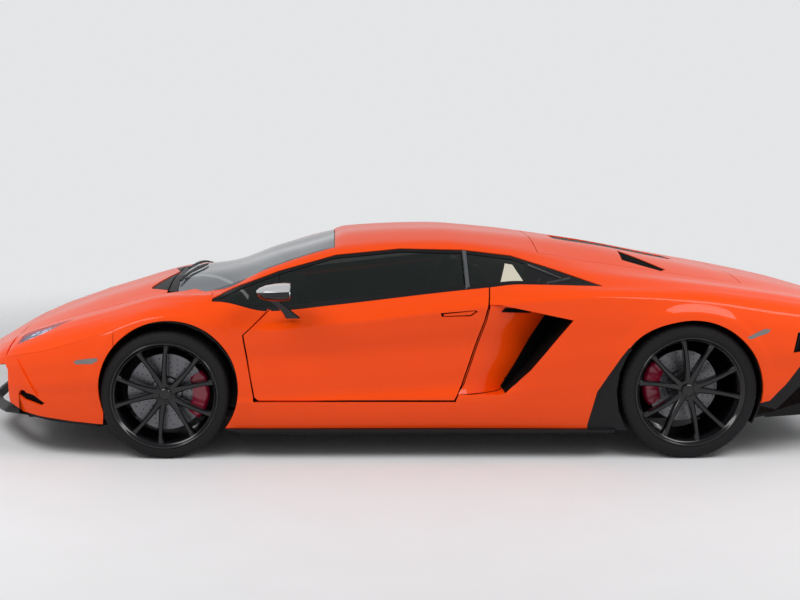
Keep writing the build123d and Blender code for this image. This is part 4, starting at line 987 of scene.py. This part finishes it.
def wiper_shape(base, tip):
    """A wiper: an arm and its blade, lying just above the glass."""
    blade = (base[0] + 10, base[1] + 120), (tip[0] + 16, tip[1] + 90)
    parts = []
    for (xa, ya), (xb, yb), width, lift in ((base, tip, 7, 12), (*blade, 5, 7)):
        rings = []
        for t in np.linspace(0, 1, 12):
            x, y = xa + (xb - xa) * t, ya + (yb - ya) * t
            z = top_z(x, abs(y)) + lift
            rings.append([(x - width, y, z - 5), (x + width, y, z - 5), (x + width, y, z),
                          (x - width, y, z + 3)])
        parts.append(lofted(rings))
    return joined(parts)


def build_windscreen():
    """Windscreen, cowl with the lid's grille ahead of it, and wipers."""
    skin("windscreen_pane", across_car(WINDSCREEN, WINDSCREEN_TOP), SCREEN, "windscreen", depth=4,
         thickness=4)
    skin("cowl_panel", across_car(COWL), SATIN_BLACK, "cowl", depth=5, thickness=12)
    skin("lid_grille", across_car(LID_GRILLE), SATIN_BLACK, on="front_lid", depth=5, thickness=12)
    form("wiper_left", wiper_shape((-1290, -440), (-1215, 40)), SATIN_BLACK)
    form("wiper_right", wiper_shape((-1290, -10), (-1225, 470)), SATIN_BLACK)


def build_headlamps():
    skin("lamp_bowl_{}", corners(HEADLAMP), DARK, depth=26, thickness=0, step=12)
    for k, places in enumerate(LAMP_PARTS):
        skin(f"lamp_part_{k}_{{}}", corners(places), LED if k else GLOSS_BLACK, depth=9,
             thickness=9, step=8)
    skin("lamp_lens_{}", corners(HEADLAMP), LENS, "headlamps", depth=1.5, thickness=2, step=12)


def section_loop(x, v0):
    """The body's section at x above crease v0, as (y, z)."""
    v = np.linspace(v0, ACROSS - v0, 61)
    return [(float(p[1]), float(p[2])) for p in surface(np.full(len(v), x), v)]


def build_mouth():
    """The beak's end, and the dark wall and bars in the mouth under it."""
    tip = [(BEAK_X, y, z) for y, z in section_loop(BEAK_X, WAIST)]
    form("beak_tip", (tip, [tuple(range(len(tip)))]), PAINT)
    wall = dense(MOUTH_WALL, 30)
    wall = [(x, -y) for x, y in wall[::-1]] + wall[1:]
    verts = [(x, y, z) for z in (MOUTH_LOW_Z, MOUTH_TOP_Z) for x, y in wall]
    form("mouth_wall", (verts, grid_faces(2, len(wall), closed=False)), DARK)
    bars = [lofted([[(x - 24, y, z - 3), (x - 24, y, z + 3), (x - 4, y, z + 5), (x - 4, y, z - 5)]
                    for x, y in wall if abs(y) < BAR_HALF_WIDTH]) for z in MOUTH_BARS_Z]
    form("mouth_bars", joined(bars), SATIN_BLACK)


def build_lip():
    """The black lip under the nose, which stands in for the splitter."""
    plan = dense(LIP_PLAN, 40)
    low = [float(np.interp(x, *zip(*LIP_LOW))) for x, _ in plan]
    rings = [[(x, y, z), (x + 10, y - 14, z - 1), (x + 60, y - 60, z + 2), (x + 34, y - 34, z + 34),
              (x + 14, y - 12, z + 30), (x - 2, y, z + 12)] for (x, y), z in zip(plan, low)]
    form("lip_{}", lofted(rings), SATIN_BLACK, "splitter")


def build_radiators():
    """A finned cooler behind each front corner intake."""
    core = [lofted([[(x, 700, z0), (x, 826, z0), (x, 800, 436), (x, 700, 436)]
                    for x, z0 in ((RADIATOR_FRONT_X, 216), (RADIATOR_REAR_X, 204))])]
    for z in spaced(FIN_LOW_Z, 14, 15):
        core.append(lofted([[(FIN_X, 706, z + h), (RADIATOR_FRONT_X, 706, z + h),
                             (RADIATOR_FRONT_X, 800, z + h), (FIN_X, 800, z + h)]
                            for h in (0, 5)]))
    form("radiator_{}", joined(core), ALUMINIUM, "front_radiators")


# ------------------------------------------------------------------ tail and engine cover
LOUVRES_FRONT_X, LOUVRE_LENGTH, LOUVRE_TILT = 800, 58, 7
PIPE_Z = 440
PIPE_RINGS = ((104, 2300), (104, 2392), (99, 2400), (92, 2400), (90, 2310))     # radius and x


def grille_bar(k):
    z, start = 598 + 12 * k, 270 + 9 * k
    ring = ((2399, start, 0), (2399, 796, 0), (2405, 796, 2), (2405, start + 4, 2),
            (2399, start, 4))
    return lofted([[(x, y, z + h + rise) for x, y, h in ring] for rise in (0, 3)])


def build_tail_face():
    """Rear face with its grilles and arrow-shaped lamps, and the black band below it."""
    outline = section_loop(TAIL_X, side_v(*LOWER_TAIL[-1]))
    flat, faces = filled([dense(outline + outline[:1], 16.0)], np.arange(-820, 821, 40),
                         np.arange(560, 740, 20))
    form("tail_face", ([(TAIL_X, y, z) for y, z in flat], [tuple(f) for f in faces]), PAINT)
    black = [(y, min(z, 548)) for y, z in section_loop(TAIL_X, side_v(*TAIL_BAND[-1]))]
    form("tail_valance", block(black, 2330, TAIL_X), SATIN_BLACK, "diffuser")
    skin("tail_band_{}", seen_from_side(LOWER_TAIL) + seen_from_side(TAIL_BAND[::-1]), SATIN_BLACK)
    form("tail_grille_{}", block(TAIL_GRILLE, 2388, 2402), DARK)
    form("tail_grille_bars_{}", joined([grille_bar(k) for k in range(7)]), SATIN_BLACK)
    lamps = []
    for y in (440, 560, 680):
        chevron = [(y, 612), (y + 50, 612), (y + 84, 637), (y + 50, 662), (y, 662), (y + 34, 637)]
        lamps.append(block(chevron, 2398, 2410))
    form("tail_lamp_{}", joined(lamps), RED_LENS, "tail_lamps")


def build_diffuser():
    """Rising floor with upright fins, and the six-sided exhaust."""
    floor = [[(x, -720, z), (x, 720, z), (x, 720, z + 14), (x, -720, z + 14)]
             for x, z in ((1790, 150), (1900, 170), (2150, 250), (2385, 330))]
    form("diffuser_floor", lofted(floor), SATIN_BLACK)
    fins = [slab([(1880, 150), (2150, 170), (2392, 262), (2392, 345), (2150, 262), (1900, 178)],
                 y - 5, y + 5) for y in (-690, -520, -300, 300, 520, 690)]
    form("diffuser_fins", joined(fins), SATIN_BLACK)
    pipe = []
    for radius, x in PIPE_RINGS:
        pipe.append([(x, radius * 1.25 * math.cos(math.tau * (k + 0.5) / 6),
                      PIPE_Z + radius * 0.72 * math.sin(math.tau * (k + 0.5) / 6))
                     for k in range(6)])
    form("exhaust", lofted(pipe), ALUMINIUM, sharp=30)


def build_deck():
    """Black slots and louvres of the engine cover."""
    slot = scaled(seen_from_above(COVER_SLOT + COVER_SLOT[:1]), 0.995)
    skin("deck_slot_{}", slot, DARK, on="engine_cover", depth=4, thickness=3, step=16)
    slats, drop = [], LOUVRE_LENGTH * math.tan(math.radians(LOUVRE_TILT))
    for x in spaced(LOUVRES_FRONT_X, 11, 62):
        half = 126 - 36 * (x - LOUVRES_FRONT_X) / 680
        middle, end = crease_height(CROWN, x), top_z(x, half)
        rings = []
        for y in np.linspace(-half, half, 13):
            z = middle + (end - middle) * (y / half)**2
            rings.append([(x - 6, y, z - 14), (x + 54, y, z - 9 - drop), (x + 56, y, z - 5 - drop),
                          (x - 4, y, z - 8)])
        slats.append(lofted(rings))
    form("deck_louvres", joined(slats), SATIN_BLACK, on="engine_cover")


# ------------------------------------------------------------------ door mirrors
MIRROR_Y, MIRROR_Z = 1024, 873
# x, half width, half height and middle height along the head
MIRROR_HEAD = ((-846, 18, 10, 868), (-832, 46, 22, 868), (-800, 84, 34, 868), (-752, 102, 40, 870),
               (-706, 106, 42, 872), (-678, 100, 39, 873))
# x, y, z and half length down the arm
MIRROR_ARM = ((-790, 985, 850, 34), (-762, 972, 820, 26), (-722, 950, 786, 24),
              (-690, 936, 752, 30), (-668, 922, 724, 40))


def head_shape(start, end, grow):
    """The part of the mirror's head between two angles round its length."""
    rings = []
    for x, across, up, middle in MIRROR_HEAD:
        ring = []
        for t in np.linspace(start, end, 17):
            c, s = math.cos(t), math.sin(t)
            c, s = math.copysign(abs(c)**0.75, c), math.copysign(abs(s)**0.8, s)
            ring.append((x, MIRROR_Y + (across + grow) * c, middle + (up + grow) * s))
        rings.append(ring)
    return lofted(rings)


def build_mirrors():
    """Door mirrors: a black head whose upper half is grey as a painted sky reflection, on a slanting
    arm, with a glass face to the rear.
    """
    # the head's upper half is grey, as a painted sky reflection
    form("mirror_cap_{}", head_shape(0.25, math.pi - 0.25, 2.0), MIRROR_SHEEN_GREY, on="door_{}")
    form("mirror_body_{}", head_shape(-math.pi, math.pi - 0.37, 0.0), GLOSS_BLACK, "mirror_{}",
         on="door_{}")
    glass = [[(x, MIRROR_Y + y, MIRROR_Z + z) for y, z in oval(a, b, 28)]
             for x, a, b in ((-679, 92, 33), (-676, 90, 32))]
    form("mirror_glass_{}", lofted(glass), MIRROR, on="door_{}")
    arm = [[(x + dx, y + dy, z) for dx, dy in ((-a, -7), (a, -7), (a * 0.8, 9), (-a * 0.8, 9))]
           for x, y, z, a in MIRROR_ARM]
    form("mirror_arm_{}", lofted(arm), GLOSS_BLACK, on="door_{}")


# ------------------------------------------------------------------ cabin
SEAT_Y, SEAT_HALF = 390.0, 228.0
CUSHION = [(-468, 262), (-494, 316), (-462, 346), (-380, 334), (-240, 306), (-110, 286), (-20, 292),
           (18, 308)]
BACKREST = [(34, 300), (46, 352), (78, 470), (112, 600), (146, 730), (176, 846), (188, 876)]
HEADREST = [(186, 846), (196, 890), (216, 930), (248, 946), (282, 944)]
CUSHION_SEAMS = (0.34, 0.46, 0.58, 0.70, 0.82)
BACKREST_SEAMS = (0.16, 0.28, 0.40, 0.52, 0.64, 0.76)
SEAT_BASE = ((-440, 180, 150), (-436, 290, 190), (-300, 285, 200), (-60, 262, 205), (20, 262, 205))
SEAT_SHELL = ((84, 170, 200), (92, 300, 215), (140, 470, 222), (172, 600, 222), (206, 730, 214),
              (232, 850, 190), (246, 900, 120))
BOLSTER_AT, BOLSTER_WIDTH = 0.80, 0.16     # as shares of the seat's half width
SEAM_AT, SEAM_WIDTH = 0.56, 0.022


def crown_lift(t, s, bolster, channels):
    """How far a pad rises at t across it and s along it: crown, bolsters, seams and channels."""
    lift = 10 * (1 - t * t) + bolster * math.exp(-((abs(t) - BOLSTER_AT) / BOLSTER_WIDTH)**2)
    lift -= 7 * math.exp(-((abs(t) - SEAM_AT) / SEAM_WIDTH)**2)
    if abs(t) < SEAM_AT:
        lift -= sum(5 * math.exp(-((s - c) / 0.013)**2) for c in channels)
    return lift


def pad_shape(path, half, thick, bolster, channels=(), taper=0.0):
    """A crowned leather pad along a side-view path, with its underside thick below it."""
    path = np.array(dense(path, 9.0))
    tangent = np.gradient(path, axis=0)
    tangent /= np.linalg.norm(tangent, axis=1)[:, None]
    normal = np.stack([-tangent[:, 1], tangent[:, 0]], axis=1)
    if normal[len(path) // 2][1] < 0 and normal[len(path) // 2][0] > 0:
        normal = -normal
    n, across = len(path), np.linspace(-1, 1, 61)
    top, under = [], []
    for k in range(n):
        s = k / (n - 1)
        ends = (1 - abs(2 * s - 1)**6)**0.5
        for t in across:
            edge = (1 - abs(t)**8)**0.5 * ends
            y = SEAT_Y + half * (1 - taper * s) * t
            out = normal[k] * crown_lift(t, s, bolster, channels) * edge
            top.append((path[k][0] + out[0], y, path[k][1] + out[1]))
            back = normal[k] * thick * edge
            under.append((path[k][0] - back[0], y, path[k][1] - back[1]))
    return top + under, pad_faces(n, len(across))


def pad_faces(n, m):
    """Faces of an upper and an under sheet of n by m points, and of the rim between them."""
    faces = []
    for quad in grid_faces(n, m, closed=False):
        faces += [quad, tuple(n * m + quad[j] for j in (0, 3, 2, 1))]
    rim = ([(0, b, 0, b + 1) for b in range(m - 1)]
           + [(n - 1, b + 1, n - 1, b) for b in range(m - 1)]
           + [(a + 1, 0, a, 0) for a in range(n - 1)]
           + [(a, m - 1, a + 1, m - 1) for a in range(n - 1)])
    for a, b, c, d in rim:
        i, j = a * m + b, c * m + d
        faces.append((j, i, n * m + i, n * m + j))
    return faces


def build_seats():
    form("seat_cushion_{}", pad_shape(CUSHION, SEAT_HALF, 34, 42, CUSHION_SEAMS), LEATHER, "seats",
         sharp=60)
    form("seat_back_{}", pad_shape(BACKREST, SEAT_HALF, 40, 46, BACKREST_SEAMS, 0.12), LEATHER,
         sharp=60)
    form("headrest_{}", pad_shape(HEADREST, 130, 26, 8), LEATHER, sharp=60)
    base, shell, y = [], [], SEAT_Y
    for x, z, w in SEAT_BASE:
        base.append([(x, y - w, 166), (x, y + w, 166), (x, y + w, z - 30), (x, y + w - 20, z),
                     (x, y - w + 20, z), (x, y - w, z - 30)])
    form("seat_base_{}", lofted(base), SATIN_BLACK)
    for x, z, w in SEAT_SHELL:
        shell.append([(x - 8, y - w, z), (x - 8, y + w, z), (x + 24, y + w - 14, z),
                      (x + 42, y + w * 0.5, z), (x + 42, y - w * 0.5, z), (x + 24, y - w + 14, z)])
    form("seat_shell_{}", lofted(shell), GLOSS_BLACK)


# y, the hood's rise and how far the dashboard comes out
DASH_ROWS = ((-684, -26, -10), (-560, 0, 0), (-500, 24, 6), (-360, 34, 10), (-220, 24, 6),
             (-160, 4, 0), (0, 6, 14), (160, 2, 2), (400, 0, 0), (560, -6, -2), (684, -26, -10))
# x, half width and height of the centre console
CONSOLE = ((-700, 120, 600), (-640, 118, 560), (-560, 112, 480), (-430, 108, 420),
           (-250, 106, 400), (-60, 104, 404), (120, 104, 412), (320, 104, 416))
KEYS_FRONT_X = -600
WHEEL_CENTRE, STEERING_TILT = (-560, -360, 690), 22.0


def vent_shape(y):
    """An air vent of the dashboard: a plate with four slats."""
    parts = []
    for z in spaced(650, 4, 14):
        parts.append(lofted([[(-632, y - 42 + w, z), (-632, y + 42 - w, z),
                              (-626, y + 42 - w, z + 6), (-626, y - 42 + w, z + 6)]
                             for w in (0, 4)]))
    plate = [(y - 50, 640), (y + 50, 640), (y + 42, 712), (y - 42, 712)]
    return parts + [block(plate, -650, -636)]


def build_dashboard():
    """The dashboard with its hood, vents and instrument display."""
    rings = []
    for y, hood, out in DASH_ROWS:
        ring = [(-918, 524), (-918, 770 + hood * 0.4), (-880, 786 + hood), (-770, 792 + hood),
                (-668 + out, 776 + hood), (-640 + out, 752 + hood * 0.8), (-650, 720), (-668, 705),
                (-640 + out, 676), (-650, 640), (-700, 560), (-760, 524)]
        rings.append([(x, y, z) for x, z in ring])
    form("dashboard_pad", lofted(rings), LEATHER, "dashboard", sharp=50)
    vents = [part for y in (-600, -110, 110, 600) for part in vent_shape(y)]
    form("dashboard_vents", joined(vents), GLOSS_BLACK)
    display = [(-470, 706), (-250, 706), (-262, 790), (-458, 790)]
    form("instrument_display", block(display, -670, -646), DISPLAY)


def build_console():
    """The centre console with three columns of keys."""
    rings = [[(x, -w, 300), (x, w, 300), (x, w, z - 26), (x, w - 18, z - 5), (x, 0, z),
              (x, -w + 18, z - 5), (x, -w, z - 26)] for x, w, z in CONSOLE]
    form("console", lofted(rings), LEATHER, sharp=50)
    keys = []
    for x in spaced(KEYS_FRONT_X, 5, 52):
        z = float(np.interp(x, [-640, -560, -430, -250], [560, 480, 420, 400])) + 1
        for y in (-46, 0, 46):
            keys.append(lofted([[(x - 17, y - 17, z - 6 + h), (x + 17, y - 17, z - 22 + h),
                                 (x + 17, y + 17, z - 22 + h), (x - 17, y + 17, z - 6 + h)]
                                for h in (0, 12)]))
    form("console_keys", joined(keys), GLOSS_BLACK)


def build_steering_wheel():
    """A padded rim with a flattened bottom, two arms, a foot and the boss."""
    verts, faces = turned([(174 + r, y) for r, y in oval(13, 15, 12)], 96)
    flat = [(x, y, max(z, -150 + 0.18 * (z + 150)) if z < -150 else z) for x, y, z in verts]
    arms = []
    for t in np.linspace(0, 1, 9):
        x = -150 + 300 * t
        arms.append([(x, -6, -18 - 8 * abs(t - 0.5)), (x, 6, -18), (x, 6, 14), (x, -6, 18)])
    foot = lofted([[(-20, -6, z), (20, -6, z), (16, 6, z), (-16, 6, z)] for z in (-148, -60, 0)])
    boss = turned([(0, -60), (26, -60), (30, -20), (52, -12), (50, 12), (40, 18), (0, 20)], 40,
                  closed=False)
    cx, cy, cz = WHEEL_CENTRE
    c, s = math.cos(math.radians(STEERING_TILT)), math.sin(math.radians(STEERING_TILT))
    for name, shape, look in (("wheel_grip", (flat, faces), LEATHER),
                              ("wheel_arms", joined([lofted(arms), foot, boss]), SATIN_BLACK)):
        placed = [(cx + y * c - z * s, cy + x, cz + y * s + z * c) for x, y, z in shape[0]]
        form(name, (placed, shape[1]), look, "steering_wheel", on="steering_wheel", sharp=45)


# ------------------------------------------------------------------ engine
ENGINE_ROWS = ((430, 300, 560), (470, 330, 600), (1190, 330, 590), (1224, 300, 560),
               (1226, 150, 500), (1558, 140, 480))


def runner_shape(x, side):
    """One curved inlet runner of the left (-1) or the right (1) bank."""
    rings = []
    for t in np.linspace(0, 1, 9):
        y, z = side * (70 + 190 * t), 700 + 40 * math.sin(math.pi * (0.25 + 0.75 * t)) - 60 * t
        rings.append([(x + a, y, z + b) for a, b in oval(26, 20, 12)])
    return lofted(rings)


def brace_shape(a, b):
    """A flat bar with slanting sides from a to b."""
    size = math.dist(a, b)
    nx, ny = (a[1] - b[1]) / size * 17, (b[0] - a[0]) / size * 17
    return lofted([[(x + nx * k, y + ny * k, z) for k, z in
                    ((1, 788), (-1, 788), (-0.6, 812), (0.6, 812))] for x, y in (a, b)])


def build_engine():
    """The engine under its cover: two banks of runners, a plenum and a crossed brace."""
    rows = [[(x, -w, 162), (x, w, 162), (x, w, z - 90), (x, w * 0.6, z), (x, -w * 0.6, z),
             (x, -w, z - 90)] for x, w, z in ENGINE_ROWS]
    form("engine_block", lofted(rows), CAST, "engine")
    runners = [runner_shape(520 + 112 * k, side) for side in (-1, 1) for k in range(6)]
    form("engine_runners", joined(runners), ALUMINIUM)
    plenum = [[(x, y, 708 + z) for y, z in oval(w, 0.75 * w, 16)]
              for x, w in ((470, 40), (486, 62), (1150, 62), (1166, 40))]
    form("engine_plenum", lofted(plenum), GLOSS_BLACK)
    form("engine_brace", joined([brace_shape((660, -520), (1250, 520)),
                                 brace_shape((660, 520), (1250, -520))]), GLOSS_BLACK)


# ------------------------------------------------------------------ camera, light and floor
CAMERA_AT = Vector((-0.460, -7.480, 1.765))
CAMERA_YAW, CAMERA_PITCH, CAMERA_ROLL = 2.945, 8.19, 0.596
FOCAL_PIXELS, IMAGE_WIDTH, SENSOR = 1299.0, 800.0, 36.0
WORLD_STRENGTH, KEY_POWER = 0.52, 105.0
PALE, OVERHEAD = 0.80, 0.30                # what a camera ray sees low down and overhead
FLOOR_RADII, FLOOR_SEGMENTS = (0.5, 3000, 6000, 9000, 12000, 16000, 20000), 72
FADE_START, FADE_END = 2.6, 6.5            # metres from the middle of the floor


def make_camera():
    data = bpy.data.cameras.new("camera")
    data.sensor_width = SENSOR
    data.lens = SENSOR * FOCAL_PIXELS / IMAGE_WIDTH
    data.clip_end = 100.0
    camera = bpy.data.objects.new("camera", data)
    bpy.context.collection.objects.link(camera)
    yaw, pitch, roll = (math.radians(a) for a in (CAMERA_YAW, CAMERA_PITCH, CAMERA_ROLL))
    ahead = Vector((math.sin(yaw) * math.cos(pitch), math.cos(yaw) * math.cos(pitch),
                    -math.sin(pitch)))
    right = Vector((math.cos(yaw), -math.sin(yaw), 0.0))
    up = right.cross(ahead)
    turned_right = math.cos(roll) * right + math.sin(roll) * up
    turned_up = -math.sin(roll) * right + math.cos(roll) * up
    turn = Matrix((turned_right, turned_up, -ahead)).transposed()
    camera.matrix_world = Matrix.Translation(CAMERA_AT) @ turn.to_4x4()
    bpy.context.scene.camera = camera


def soft_box(name, at, towards, size):
    data = bpy.data.lights.new(name, "AREA")
    data.shape = "RECTANGLE"
    data.size, data.size_y = size
    data.energy = KEY_POWER
    lamp = bpy.data.objects.new(name, data)
    bpy.context.collection.objects.link(lamp)
    lamp.location = at
    lamp.rotation_euler = (Vector(towards) - Vector(at)).to_track_quat("-Z", "Y").to_euler()


def make_floor():
    """A wide pale floor that turns clear towards its edge and meets the background softly."""
    n = FLOOR_SEGMENTS
    verts = [(r * math.cos(math.tau * k / n), r * math.sin(math.tau * k / n), 0)
             for r in FLOOR_RADII for k in range(n)]
    mesh_object("floor", verts, grid_faces(len(FLOOR_RADII), n), FLOOR)
    tree = FLOOR.node_tree
    where = add_node(tree, "TexCoord")
    length = add_node(tree, "VectorMath")
    length.operation = "LENGTH"
    wire(tree, where, "Object", length, 0)
    share = add_node(tree, "MapRange", From_Min=FADE_START, From_Max=FADE_END)
    share.interpolation_type = "SMOOTHSTEP"
    wire(tree, length, "Value", share, "Value")
    mix = add_node(tree, "MixShader")
    wire(tree, share, "Result", mix, "Fac")
    wire(tree, tree.nodes["Principled BSDF"], "BSDF", mix, 1)
    wire(tree, add_node(tree, "BsdfTransparent"), "BSDF", mix, 2)
    wire(tree, mix, "Shader", tree.nodes["Material Output"], "Surface")


def either(tree, first, output, second, other):
    """The larger of two outputs."""
    made = add_node(tree, "Math")
    made.operation = "MAXIMUM"
    wire(tree, first, output, made, 0)
    wire(tree, second, other, made, 1)
    return made


def make_world():
    """Even light, and a pale backdrop for camera, glossy and transmission rays."""
    world = bpy.data.worlds.new("world")
    bpy.context.scene.world = world
    world.use_nodes = True
    tree = world.node_tree
    light = tree.nodes["Background"]
    light.inputs["Color"].default_value = (0.93, 0.94, 0.95, 1)
    light.inputs["Strength"].default_value = WORLD_STRENGTH
    backdrop = add_node(tree, "Background", Color=(0.97, 0.98, 1.0, 1))
    parts = add_node(tree, "SeparateXYZ")
    wire(tree, add_node(tree, "TexCoord"), "Generated", parts, "Vector")
    height = add_node(tree, "MapRange", From_Min=0.12, From_Max=0.75, To_Min=PALE, To_Max=OVERHEAD)
    wire(tree, parts, "Z", height, "Value")
    wire(tree, height, "Result", backdrop, "Strength")
    rays = add_node(tree, "LightPath")
    direct = either(tree, rays, "Is Camera Ray", rays, "Is Glossy Ray")
    direct = either(tree, direct, 0, rays, "Is Transmission Ray")
    mix = add_node(tree, "MixShader")
    wire(tree, direct, 0, mix, "Fac")
    wire(tree, light, "Background", mix, 1)
    wire(tree, backdrop, "Background", mix, 2)
    wire(tree, mix, "Shader", tree.nodes["World Output"], "Surface")


bpy.context.scene.view_settings.view_transform = "Standard"
make_camera()
make_floor()
make_world()
soft_box("front_box", (-3.3, -2.4, 3.5), (-1.4, -0.5, 0.5), (3.6, 1.6))
soft_box("rear_box", (3.1, -2.4, 3.5), (1.5, -0.5, 0.6), (3.8, 1.6))
for build in (build_panels, build_wheels, build_intake, build_side_trim, build_side_glass,
              build_windscreen, build_headlamps, build_mouth, build_lip, build_tail_face,
              build_diffuser, build_radiators, build_deck, build_mirrors, build_seats,
              build_dashboard, build_console, build_steering_wheel, build_engine):
    build()
MATERIALS = {"seats": LEATHER, "dashboard": LEATHER, "engine": CAST, "windscreen": TINT,
             "fixed_glass": TINT, "door_glass_left": TINT, "door_glass_right": TINT,
             "headlamps": LENS, "rear_calipers": CRIMSON, "front_caliper_left": CRIMSON,
             "front_caliper_right": CRIMSON}
for name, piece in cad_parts.items():
    piece.data.materials.clear()
    chosen = MATERIALS.get(name, RUBBER if name.startswith("tyre") else SATIN_BLACK)
    piece.data.materials.append(chosen)
